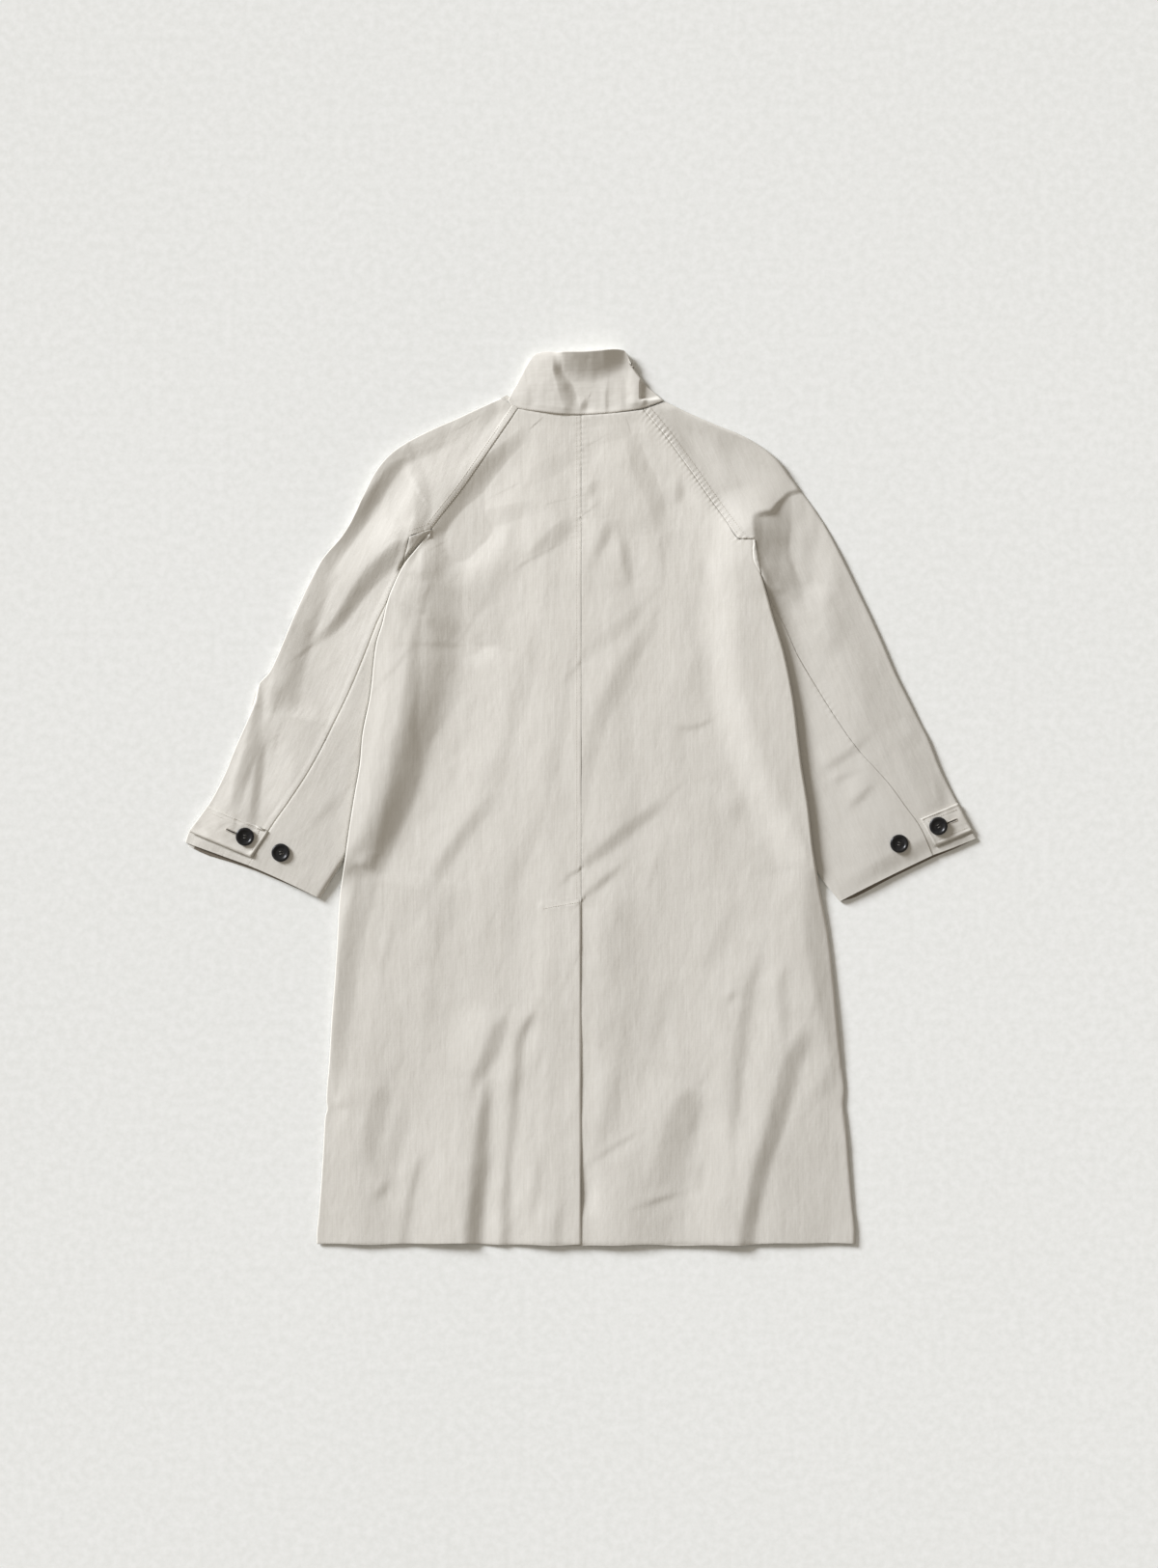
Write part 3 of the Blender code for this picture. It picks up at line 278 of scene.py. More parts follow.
def curve(points, step=1.5):
    """Points every STEP mm along a smooth line through a table in picture units."""
    p = flat(points)
    u = np.concatenate([[0], np.cumsum(np.hypot(*np.diff(p[:, :2], axis=0).T))])
    n = max(2, int(round(u[-1] / step)) + 1)
    return pchip(u, p, np.linspace(0, u[-1], n))


def near(path, x, y, reach):
    """Distance to a path, positive on its left, the place along it in mm, and
    the index there. Points out of reach get twice the reach."""
    px, py = path[:, 0], path[:, 1]
    tx, ty = np.gradient(px), np.gradient(py)
    n = np.hypot(tx, ty)
    tx, ty = tx / n, ty / n
    s = np.concatenate([[0], np.cumsum(np.hypot(np.diff(px), np.diff(py)))])
    fx, fy = x.ravel(), y.ravel()
    dist = np.full(fx.shape, 2.0 * reach)
    along, index = np.zeros(fx.shape), np.zeros(fx.shape, int)
    inside = (fx > px.min() - reach) & (fx < px.max() + reach) & (fy > py.min() - reach) & (fy < py.max() + reach)
    todo = np.flatnonzero(inside)
    for part in np.array_split(todo, max(1, len(todo) * len(px) // 3_000_000)):
        if not len(part):
            continue
        dx, dy = fx[part, None] - px, fy[part, None] - py
        k = (dx * dx + dy * dy).argmin(1)
        r = np.arange(len(part))
        dx, dy = dx[r, k], dy[r, k]
        side = tx[k] * dy - ty[k] * dx
        forth = tx[k] * dx + ty[k] * dy
        d = np.where((k > 0) & (k < len(px) - 1), np.abs(side), np.hypot(dx, dy))
        dist[part] = np.where(side >= 0, d, -d)
        along[part], index[part] = s[k] + forth, k
    dist[np.abs(dist) > reach] = 2.0 * reach
    return dist.reshape(x.shape), along.reshape(x.shape), index.reshape(x.shape)


def lattice(x, y, seed):
    """Gradient noise about -1 to 1, one cell a unit."""
    rng = np.random.RandomState(seed)
    table = rng.permutation(256)
    angle = rng.uniform(0, 2 * math.pi, 256)
    gx, gy = np.cos(angle), np.sin(angle)
    x0, y0 = np.floor(x).astype(int), np.floor(y).astype(int)
    fx, fy = x - x0, y - y0
    u, v = fx**3 * (fx * (6 * fx - 15) + 10), fy**3 * (fy * (6 * fy - 15) + 10)

    def corner(i, j):
        h = table[(table[(x0 + i) % 256] + y0 + j) % 256]
        return gx[h] * (fx - i) + gy[h] * (fy - j)

    top = corner(0, 0) * (1 - u) + corner(1, 0) * u
    low = corner(0, 1) * (1 - u) + corner(1, 1) * u
    return 1.6 * (top * (1 - v) + low * v)


FOLD_PATHS = [
    (f[0], (f[1] * 1.5 + (0 if f[0] == "c" else 6)) * UNIT, (f[2] * 1.5 + (0 if f[0] == "c" else 6)) * UNIT, f[3], curve(f[4], 2.0))
    for f in FOLDS
]


def relief(layer, x, y):
    """Height of the folds of one layer, in mm."""
    total = np.zeros(x.shape)
    for layers, before, after, share, path in FOLD_PATHS:
        if layer not in layers:
            continue
        reach = float(path[:, 2].max()) * UNIT / 2 + max(before, after) + 2
        dist, _, k = near(path, x, y, reach)
        tx, ty = np.gradient(path[:, 0]), np.gradient(path[:, 1])
        away = float((ty * LIGHT[0] - tx * LIGHT[1]).sum())
        s = -dist if away > 0 else dist
        s = np.where(np.abs(dist) > reach, 1e6, s)
        half = path[k, 2] * UNIT / 2
        fall = (s + half) / (2 * half)
        fall = 0.4 * S(fall) + 0.6 * np.clip(fall, 0, 1)
        shape = share * S((s + half + before) / before) - fall + (1 - share) * S((s - half) / after)
        total += path[k, 3] * np.where(s > 1e5, 0.0, shape)
    return total


def crumple(x, y, seed, lean=0.0, amount=1.0):
    """Soft unevenness, longer along the grain, in mm."""
    c, s = math.cos(lean), math.sin(lean)
    u, v = x * c + y * s, y * c - x * s
    bend = 6.0 * lattice(u / 70 + 3.1, v / 90, seed + 9)
    broad = lattice((u + bend) / 52, v / 105, seed) * 0.85
    mid = lattice((u + bend) / 24, v / 50, seed + 1) * 0.26
    fine = lattice((u + 0.5 * bend) / 11, v / 24, seed + 2) * 0.07
    sharp = 0.22 * (0.35 - np.abs(lattice((u + 2 * bend) / 33, v / 52, seed + 3)))
    cross = 0.16 * lattice((u + v) / 26, (v - u) / 48, seed + 4)
    calm = 0.62 + 0.38 * S((y - 220) / 130)
    return amount * calm * (broad + mid + fine + sharp + cross)


def seam(path, x, y, raised, pucker, wave, seed, groove=0.9, width=9.0):
    """A sewn seam: its groove, the pressed allowance on one side (1 left, -1
    right, 0 none) and the ripples that the stitching draws up."""
    d, along, _ = near(path, x, y, 16.0)
    a = np.abs(d)
    z = -groove * np.exp(-((a / 1.1) ** 2))
    if raised:
        over = d * raised > 0
        z = z + np.where(over, 0.55 * S(a / 1.6) * S((width - a) / 1.8), 0.0)
    swing = lattice(along / 31.0, along * 0 + seed, seed)
    rate = 2 * math.pi * along / wave + 2.6 * swing + 0.16 * d
    strength = 0.55 + 0.45 * lattice(along / 23.0, along * 0 + 5.5, seed + 1)
    z = z + pucker * strength * np.cos(rate) * np.exp(-a / 5.0) * S(a / 0.8)
    return np.where(a > 16.0, 0.0, z)


def roll(d, radius):
    """Share of its height that a ply has where it turns down to its edge."""
    t = np.clip(d / radius, 0.0, 1.0)
    return np.sqrt(np.clip(1 - (1 - t) ** 2, 0.0, 1.0)) ** 0.9


P = {
    "neck": curve(NECK, 1.0), "raglan_left": curve(RAGLAN_LEFT, 1.0), "raglan_right": curve(RAGLAN_RIGHT, 1.0),
    "turn_left": curve(TURN_LEFT, 1.0), "turn_right": curve(TURN_RIGHT, 1.0),
    "edge_left": curve(EDGE_LEFT, 1.5), "edge_right": curve(EDGE_RIGHT, 1.5),
    "outer_left": curve(OUTER_LEFT, 1.5), "outer_right": curve(OUTER_RIGHT, 1.5),
    "under_left": curve(UNDER_LEFT, 1.5), "under_right": curve(UNDER_RIGHT, 1.5),
    "fold_left": curve(FOLD_LEFT, 1.5), "fold_right": curve(FOLD_RIGHT, 1.5),
    "centre": np.stack([np.full(700, SEAM_X), np.linspace(508, -135.7, 700)], -1),
    "vent": np.stack([np.full(400, SEAM_X - 0.6), np.linspace(-136, -600, 400)], -1),
}
Y_VENT = (CENTRE[1] - VENT_TOP) * UNIT
Y_ARMPIT = (CENTRE[1] - 556) * UNIT


def hidden_fold(side, y):
    """How far from the centre the sleeve's inner fold lies under the body."""
    p = P["fold_left" if side < 0 else "fold_right"]
    order = np.argsort(p[:, 1])
    return np.interp(y, p[order, 1], np.abs(p[order, 0]))


def body_edge(side, y):
    """How far from the centre the body's free edge lies."""
    p = P["edge_left" if side < 0 else "edge_right"]
    order = np.argsort(p[:, 1])
    return np.interp(y, p[order, 1], np.abs(p[order, 0]))


def swell(x, y):
    """The cloth stands up round the right armpit, on both sides of its seam."""
    px, py = x / UNIT + CENTRE[0], CENTRE[1] - y / UNIT
    r = np.hypot((px - 785) / np.where(px < 785, 56, 44), np.maximum(np.abs(py - 568) - 14, 0) / np.where(py < 568, 52, 42))
    return 10.4 * S(1.05 - r)


def back_top(x, y, side):
    """Upper surface of the back, left (side -1) or right (side 1)."""
    name = "left" if side < 0 else "right"
    ax = np.abs(x)
    low = (CENTRE[1] - 936) * UNIT
    on_sleeve = S((Y_ARMPIT + 10 - y) / 60) * S((y - low) / 60)
    fold = hidden_fold(side, y)
    base = Z_FLAT + (Z_CENTRE - Z_FLAT) * S((86 - ax) / 50) * S((470 - y) / 80)
    lift = S((ax - (fold - 52)) / 58) * on_sleeve
    base = base + (Z_OVER - Z_FLAT) * lift
    de, _, _ = near(P["edge_" + name], x, y, 80.0)
    wide_de = np.minimum(np.abs(de), 80.0)
    de = np.where(wide_de > 40.0, 80.0, wide_de)
    if side < 0:
        base = base - 1.0 * on_sleeve * (1 - S(de / 26)) - 2.4 * (1 - on_sleeve) * (1 - S(wide_de / 70))
    z = base + relief("b", x, y) + crumple(x, y, 11 if side < 0 else 23, 0.05 * side)
    # sewn edges: all plies meet at one height
    sewn = S((y - (Y_ARMPIT - 4)) / 16)
    d, _, _ = near(P["raglan_" + name], x, y, 40.0)
    share = sewn * S((26 - np.abs(d)) / 26)
    z = z * (1 - share) + Z_SEWN * share + relief("a", x, y)
    dn, _, _ = near(P["neck"], x, y, 30.0)
    share = S((18 - np.abs(dn)) / 18)
    z = z * (1 - share) + (Z_SEWN + 0.3) * share
    if side > 0:
        z = z + swell(x, y) * (1 - 0.8 * lift)
    z = z + seam(P["raglan_" + name], x, y, 0, 0.16 if side < 0 else 0.7, 7.0 if side < 0 else 6.4, 41 + side, groove=0.15 if side < 0 else 0.7)
    z = z + seam(P["neck"], x, y, 0, 0.14, 9.0, 47, groove=0.25)
    z = z + 0.7 * seam(P["centre"], x, y, 1 if side < 0 else 0, 0.26, 8.0, 51, groove=0.45 if side < 0 else 0.0) * S((y - Y_VENT) / 6)
    # the free edge below the armpit
    if side < 0:
        z_low = 1.8 + 7.0 * on_sleeve
        radius = 1.2
    else:
        z_low = 1.2 + 3.8 * on_sleeve + 3.4 * on_sleeve * S((y - 246) / 46)
        radius = 5.0 - 2.6 * on_sleeve
    near_armpit = S((y - 250) / 50)
    z_low = z_low * (1 - near_armpit) + (z - 1.3) * near_armpit
    down = (1 - roll(de, radius)) * (1 - sewn)
    z = z * (1 - down) + z_low * down
    # never into what lies beneath
    floor = 2.6 + 2.2 * S((70 - ax) / 30) + 4.0 * lift
    z = np.maximum(z, floor * (1 - down) + np.minimum(z_low, floor) * down)
    if side < 0:  # turned-in facing of the vent, and its free edge
        below = S((Y_VENT - y) / 8)
        fx = (558 - CENTRE[0]) * UNIT
        z = z + below * 0.35 * S((x - fx) / 2.0)
        edge = SEAM_X - 0.5 - x
        z = z - below * 0.9 * np.exp(-((edge / 1.2) ** 2))
        z = z + below * 0.8 * S((26 - edge) / 26) * (0.5 + 0.5 * lattice(y / 60, y * 0 + 0.5, 77))
        bar, _, _ = near(P["bar"], x, y, 8.0)
        z = z - 0.5 * np.exp(-((bar / 1.2) ** 2)) + 0.3 * np.exp(-(((np.abs(bar) - 2.6) / 1.5) ** 2))
    else:
        below = S((Y_VENT + 4 - y) / 18)
        wide = S((-470 - y) / 90) * S((y + 560) / 40)
        z = z - below * (1.2 + 2.4 * wide) * S((30 - (x - SEAM_X)) / 26)
    hem = (CENTRE[1] - 1290) * UNIT
    return z - 0.7 * np.exp(-(((y - hem) / 2.2) ** 2))


P["cuff_left"] = curve([(192, 873), (258, 897), (331, 931)], 1.5)
P["cuff_right"] = curve([(870.5, 933.8), (966, 886.4), (1012, 868.7)], 1.5)
P["strap_edge_left"] = curve([(197.2, 862.4), (260.2, 888.6)], 1.0)
P["strap_edge_right"] = curve([(1008, 860.8), (969, 877.2)], 1.0)
P["bar"] = curve([(562, 939.5), (580, 936.2), (601, 932.6)], 1.0)


BLOCK = flat([(775, 534), (797, 531), (807, 521), (814, 512), (828, 508.5), (847, 541), (843, 601), (837, 608), (801, 611), (781, 598)])
CREST = [(480, 779.4), (534, 779), (556, 778.6), (566, 777.4), (577, 778.6), (598, 787), (616, 793)]  # y, x


def hollow(x, y):
    """The shaded hollow beside the right armpit: how far inside its lower and
    outer sides, and inside its sharper crest and top, in mm."""
    d = []
    n = len(BLOCK)
    for k in range(n):
        a, b = BLOCK[k], BLOCK[(k + 1) % n]
        t = (b - a) / np.linalg.norm(b - a)
        d.append((x - a[0]) * t[1] - (y - a[1]) * t[0])
    soft = np.minimum(np.minimum(d[5], d[6]), np.minimum(d[7], d[8]))
    top = np.maximum(d[0], np.minimum(np.minimum(d[1], d[2]), d[3]))
    return soft, np.minimum(top, d[9])


def sleeve_top(x, y, side):
    """Upper surface of a sleeve, on both sides of its underarm seam."""
    name = "left" if side < 0 else "right"
    outer, _, _ = near(P["outer_" + name], x, y, 70.0)
    outer = np.where(np.abs(outer) > 70.0, 140.0, np.maximum(outer * (1 if side < 0 else -1), 0.0))
    rag, _, _ = near(P["raglan_" + name], x, y, 60.0)
    turn, _, _ = near(P["turn_" + name], x, y, 40.0)
    sewn_by = np.minimum(np.abs(rag), np.abs(turn))
    fold, _, _ = near(P["fold_" + name], x, y, 30.0)
    edge, _, _ = near(P["edge_" + name], x, y, 90.0)
    inside = np.where(np.abs(edge) > 90.0, np.where(np.abs(x) < body_edge(side, y), 180.0, -180.0), edge * (1 if side < 0 else -1))
    above = S((y - (Y_ARMPIT - 12)) / 14)
    low = S((292 - y) / 46)
    if side < 0:
        base = 4.0 + 2.8 * S(outer / 28)
        upper = S((y - (Y_ARMPIT - 52)) / 80)
        base = base * (1 - upper) + (5.4 - 1.7 * S(outer / 32) + 2.4 * S((outer - 12) / 58)) * upper
    else:
        base = 4.6 + 3.2 * S(outer / 52)
        upper = S((y - 395) / 50)
        base = base * (1 - upper) + (7.4 - 3.0 * S(outer / 32) + 2.2 * S((outer - 34) / 50)) * upper
        side_by = 3.0 + 4.6 * S(-inside / 90)
        base = base * (1 - low) + np.minimum(base, side_by) * low
    z = base + relief("s", x, y) + crumple(x, y, 31 if side < 0 else 43, 0.42 * side, 0.9)
    share = above * S((24 - sewn_by) / 24)
    z = z * (1 - share) + Z_SEWN * share + relief("a", x, y)
    dn, _, _ = near(P["neck"], x, y, 30.0)
    share = S((16 - np.abs(dn)) / 16)
    z = z * (1 - share) + (Z_SEWN - 0.4) * share
    if side > 0:
        z = z + swell(x, y)
        deep, near_top = hollow(x, y)
        d = (x / UNIT + CENTRE[0] - rule(CENTRE[1] - y / UNIT, CREST)) * UNIT
        v = (CENTRE[1] - y / UNIT) - 568
        high = 8.4 + 10.4 * S(1.05 - np.maximum(np.abs(v) - 14, 0) / np.where(v < 0, 52, 42))
        shape = high - (high - 2.8) * (0.36 * np.clip(d / 14, 0, 1) + 0.64 * np.clip((d - 14) / 38, 0, 1)) + 0.4 * lattice(x / 17, y / 34, 53)
        w = S(near_top / 8.0 + 0.38) * S(deep / 40.0 + 0.92)
        z = np.where(w > 0, z * (1 - w) + np.minimum(shape, z + 0.3) * w, z)
    z = z + seam(P["raglan_" + name], x, y, -1 if side < 0 else 1, 0.18 if side < 0 else 0.85, 7.0 if side < 0 else 6.4, 41 + side, groove=0.9 if side < 0 else 0.5, width=9.5)
    z = z + seam(P["turn_" + name], x, y, 0, 0.2, 6.0, 61, groove=0.3) * 0.9
    fade = 1.0 if side < 0 else 1 - 0.9 * S((CENTRE[1] - 770 - y / UNIT) / 40)
    z = z + seam(P["under_" + name], x, y, -1 if side < 0 else 0, 0.2 if side < 0 else 0.34, 8.0, 67 + side, groove=0.45 if side < 0 else 0.2, width=8.0) * (1 - above) * fade
    # lies low where the body covers it, with a narrow gap beside the armpit
    cover = S((inside + 1.5) / 6.0) * S((Y_ARMPIT - 2 - y) / 10)
    z = z * (1 - cover) + Z_STRIP * cover
    py = CENTRE[1] - y / UNIT
    gap = S((py - 549) / 8) * S((596 - py) / 12) if side < 0 else S((py - 566) / 8) * S((612 - py) / 16)
    z = z - gap * (4.6 if side < 0 else 1.2) * np.exp(-(((inside + 1.2) / (2.6 if side < 0 else 1.7)) ** 2))
    # the cuff lies lower at its hem, and hollows beneath the strap's lower edge
    hem, _, _ = near(P["cuff_" + name], x, y, 30.0)
    k = S((28 - np.abs(hem)) / 26)
    rest = 5.2 if side < 0 else 3.9
    z = z * (1 - k) + np.minimum(z, rest + 0.25 * (z - rest)) * k
    d, along, _ = near(P["strap_edge_" + name], x, y, 6.0)
    d = np.where(np.abs(d) > 6.0, 9.0, d * (-1 if side < 0 else 1))
    z = z - 1.5 * np.exp(-(((d - 0.8) / 1.5) ** 2))
    # inner fold, free beyond the body
    down = (1 - roll(np.abs(fold), 5.0)) * (1 - above)
    z = z * (1 - down) + 1.5 * down
    down = 1 - roll(outer, 1.0 if side < 0 else 3.5)
    z = z * (1 - down) + 1.0 * down
    return np.maximum(z, 1.0 + 1.2 * (1 - down))


# ---------------------------------------------------------------- meshes
PIECES = {}


def ride(obj, nodes=()):
    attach(obj, "root")
    if nodes:
        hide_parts(*nodes)
    PIECES[obj.name] = obj
    return obj


def grid_object(name, X, Y, Z, mat, thick, keep=None, offset=-1.0):
    """A sheet through a grid of points in mm, given its thickness downwards."""
    ny, nx = X.shape
    verts = np.stack([X, Y, Z], -1).reshape(-1, 3) * MM
    i, j = np.meshgrid(np.arange(ny - 1), np.arange(nx - 1), indexing="ij")
    if keep is not None:
        i, j = i[keep], j[keep]
    a = (i * nx + j).ravel()
    faces = np.stack([a, a + 1, a + nx + 1, a + nx], -1)
    v0, v1, v2 = verts[faces[:, 0]], verts[faces[:, 1]], verts[faces[:, 2]]
    if np.cross(v1 - v0, v2 - v0)[:, 2].sum() < 0:
        faces = faces[:, ::-1]
    used = np.zeros(len(verts), bool)
    used[faces.ravel()] = True
    new = np.cumsum(used) - 1
    mesh = bpy.data.meshes.new(name)
    mesh.from_pydata(verts[used].tolist(), [], new[faces].tolist())
    mesh.polygons.foreach_set("use_smooth", np.ones(len(mesh.polygons), bool))
    mesh.materials.append(mat)
    obj = bpy.data.objects.new(name, mesh)
    bpy.context.scene.collection.objects.link(obj)
    if thick:
        solid = obj.modifiers.new("ply", "SOLIDIFY")
        solid.thickness = thick * MM
        solid.offset = offset
        solid.use_rim = True
        solid.use_even_offset = False
    return obj


def across(width, count, fine_start=True, fine_end=True):
    """Distances over a row: close together at its sewn or turned ends."""
    ends = [0.0, 0.35, 0.9, 1.7, 2.8, 4.4, 6.6, 9.4]
    scale = min(1.0, width / 60)
    a = [e * scale for e in (ends if fine_start else ends[:1])]
    b = [width - e * scale for e in (ends if fine_end else ends[:1])][::-1]
    middle = np.linspace(a[-1], b[0], count + 2)[1:-1].tolist()
    return np.array(a + middle + b)


def row_places(rows, tall, fine_rows):
    """Where each row of a grid lies: u along the table, close at its top."""
    p = flat([r[:2] if len(r) == 4 else (r[1], r[2]) for r in rows])
    u = np.concatenate([[0], np.cumsum(np.hypot(*np.diff(p, axis=0).T))])
    cut = u[fine_rows[0]] if fine_rows else 0.0
    top = np.arange(0, cut, fine_rows[1]) if fine_rows else np.array([])
    rest = np.linspace(cut, u[-1], max(2, int((u[-1] - cut) / tall) + 1))
    places = np.concatenate([top, rest])
    extra = np.array([0.4, 1.0, 2.0])
    return u, np.unique(np.concatenate([places, extra, u[-1] - extra]))


# ---------------------------------------------------------------- materials
def nodes_of(mat):
    mat.use_nodes = True
    tree = mat.node_tree
    return tree, tree.nodes["Principled BSDF"]


def link(tree, a, b):
    tree.links.new(a, b)


def math_node(tree, op, a, b=None):
    n = tree.nodes.new("ShaderNodeMath")
    n.operation = op
    for k, v in enumerate((a, b)):
        if v is None:
            continue
        if isinstance(v, (int, float)):
            n.inputs[k].default_value = v
        else:
            link(tree, v, n.inputs[k])
    return n.outputs[0]


def noise_node(tree, vector, scale, detail=2.0, rough=0.5):
    n = tree.nodes.new("ShaderNodeTexNoise")
    n.inputs["Scale"].default_value = scale
    n.inputs["Detail"].default_value = detail
    n.inputs["Roughness"].default_value = rough
    link(tree, vector, n.inputs["Vector"])
    return n.outputs["Fac"]


def placed(tree, source, scale=(1, 1, 1), angle=0.0, shift=(0, 0, 0)):
    m = tree.nodes.new("ShaderNodeMapping")
    m.inputs["Scale"].default_value = scale
    m.inputs["Rotation"].default_value = (0, 0, angle)
    m.inputs["Location"].default_value = shift
    link(tree, source, m.inputs["Vector"])
    return m.outputs["Vector"]


CLOTH_DARK = (0.585, 0.556, 0.492, 1.0)
CLOTH_MID = (0.686, 0.662, 0.604, 1.0)
CLOTH_LIGHT = (0.770, 0.752, 0.702, 1.0)


def cloth_material(name, angle, shift, painted_shade_factor=1.0):
    """Crisp, closely woven cotton: slubs along the grain, a fine plain weave,
    faint blotches and a slight sheen."""
    mat = bpy.data.materials.new(name)
    tree, shader = nodes_of(mat)
    coord = tree.nodes.new("ShaderNodeTexCoord").outputs["Object"]
    grain = placed(tree, coord, angle=angle, shift=(shift, shift * 0.7, 0))
    slub = noise_node(tree, placed(tree, grain, (420, 13, 1)), 1.0, 3.0, 0.6)
    thread = noise_node(tree, placed(tree, grain, (1500, 60, 1)), 1.0, 1.0, 0.5)
    cross = noise_node(tree, placed(tree, grain, (26, 900, 1)), 1.0, 2.0, 0.5)
    wide = noise_node(tree, placed(tree, grain, (60, 6, 1)), 1.0, 2.0, 0.5)
    blotch = noise_node(tree, grain, 26.0, 3.0, 0.55)
    mix = math_node(tree, "MULTIPLY", slub, 0.34)
    for part, share in ((thread, 0.14), (cross, 0.16), (wide, 0.16), (blotch, 0.20)):
        mix = math_node(tree, "ADD", mix, math_node(tree, "MULTIPLY", part, share))
    ramp = tree.nodes.new("ShaderNodeValToRGB")
    ramp.color_ramp.elements[0].position = 0.04
    ramp.color_ramp.elements[0].color = CLOTH_DARK
    ramp.color_ramp.elements[1].position = 0.96
    ramp.color_ramp.elements[1].color = CLOTH_LIGHT
    middle = ramp.color_ramp.elements.new(0.5)
    middle.color = CLOTH_MID
    link(tree, mix, ramp.inputs["Fac"])
    # painted light and shade: paler towards the shoulders and darker towards the right side, as the light falls
    axes = tree.nodes.new("ShaderNodeSeparateXYZ")
    link(tree, coord, axes.inputs[0])
    painted_shade_scale = math_node(tree, "MULTIPLY", axes.outputs["Y"], 0.095 * painted_shade_factor)
    side = math_node(tree, "MULTIPLY", math_node(tree, "MAXIMUM", axes.outputs["X"], 0.0), -0.14 * painted_shade_factor)
    painted_shade_scale = math_node(tree, "ADD", math_node(tree, "ADD", painted_shade_scale, side), 0.99 * painted_shade_factor)
    scaled = tree.nodes.new("ShaderNodeVectorMath")
    scaled.operation = "SCALE"
    link(tree, ramp.outputs["Color"], scaled.inputs[0])
    link(tree, painted_shade_scale, scaled.inputs["Scale"])
    link(tree, scaled.outputs["Vector"], shader.inputs["Base Color"])
    rough = tree.nodes.new("ShaderNodeMapRange")
    rough.inputs["To Min"].default_value = 0.66
    rough.inputs["To Max"].default_value = 0.84
    link(tree, slub, rough.inputs["Value"])
    link(tree, rough.outputs["Result"], shader.inputs["Roughness"])
    shader.inputs["Specular IOR Level"].default_value = 0.32
    shader.inputs["Sheen Weight"].default_value = 0.12
    shader.inputs["Sheen Roughness"].default_value = 0.45
    shader.inputs["Sheen Tint"].default_value = (1.0, 0.98, 0.95, 1.0)

    def threads(direction, period):
        w = tree.nodes.new("ShaderNodeTexWave")
        w.wave_type = "BANDS"
        w.bands_direction = direction
        w.wave_profile = "SIN"
        w.inputs["Scale"].default_value = 0.31416 / period
        w.inputs["Distortion"].default_value = 0.6
        w.inputs["Detail"].default_value = 1.0
        w.inputs["Detail Scale"].default_value = 0.4
        link(tree, grain, w.inputs["Vector"])
        return w.outputs["Fac"]

    weave = math_node(tree, "MULTIPLY", threads("X", 0.00052), threads("Y", 0.00064))
    small = tree.nodes.new("ShaderNodeBump")
    small.inputs["Strength"].default_value = 0.25
    small.inputs["Distance"].default_value = 0.00022
    link(tree, weave, small.inputs["Height"])
    mid = tree.nodes.new("ShaderNodeBump")
    mid.inputs["Strength"].default_value = 0.17
    mid.inputs["Distance"].default_value = 0.0006
    link(tree, math_node(tree, "ADD", slub, math_node(tree, "MULTIPLY", cross, 0.5)), mid.inputs["Height"])
    link(tree, small.outputs["Normal"], mid.inputs["Normal"])
    large = tree.nodes.new("ShaderNodeBump")
    large.inputs["Strength"].default_value = 0.26
    large.inputs["Distance"].default_value = 0.0022
    soft = noise_node(tree, placed(tree, grain, (1.0, 0.42, 1)), 82.0, 2.0, 0.5)
    link(tree, soft, large.inputs["Height"])
    link(tree, mid.outputs["Normal"], large.inputs["Normal"])
    link(tree, large.outputs["Normal"], shader.inputs["Normal"])
    return mat


def thread_material(name="thread", dark=1.0):
    mat = bpy.data.materials.new(name)
    tree, shader = nodes_of(mat)
    coord = tree.nodes.new("ShaderNodeTexCoord").outputs["Object"]
    twist = noise_node(tree, coord, 2600.0, 2.0)
    ramp = tree.nodes.new("ShaderNodeValToRGB")
    ramp.color_ramp.elements[0].color = (0.50 * dark, 0.455 * dark, 0.385 * dark, 1)
    ramp.color_ramp.elements[1].color = (0.78 * dark, 0.745 * dark, 0.68 * dark, 1)
    link(tree, twist, ramp.inputs["Fac"])
    link(tree, ramp.outputs["Color"], shader.inputs["Base Color"])
    shader.inputs["Roughness"].default_value = 0.5
    shader.inputs["Sheen Weight"].default_value = 0.2
    return mat


def button_material():
    """Black polished horn-like resin with faint scratches and dust."""
    mat = bpy.data.materials.new("button_black")
    tree, shader = nodes_of(mat)
    coord = tree.nodes.new("ShaderNodeTexCoord").outputs["Object"]
    cloud = noise_node(tree, coord, 220.0, 4.0, 0.6)
    ramp = tree.nodes.new("ShaderNodeValToRGB")
    ramp.color_ramp.elements[0].position = 0.35
    ramp.color_ramp.elements[0].color = (0.008, 0.008, 0.009, 1)
    ramp.color_ramp.elements[1].position = 0.75
    ramp.color_ramp.elements[1].color = (0.022, 0.021, 0.021, 1)
    link(tree, cloud, ramp.inputs["Fac"])
    link(tree, ramp.outputs["Color"], shader.inputs["Base Color"])
    scratch = noise_node(tree, placed(tree, coord, (300, 2600, 300), 0.6), 1.0, 3.0)
    span = tree.nodes.new("ShaderNodeMapRange")
    span.inputs["To Min"].default_value = 0.22
    span.inputs["To Max"].default_value = 0.4
    link(tree, scratch, span.inputs["Value"])
    link(tree, span.outputs["Result"], shader.inputs["Roughness"])
    shader.inputs["Specular IOR Level"].default_value = 0.3
    return mat
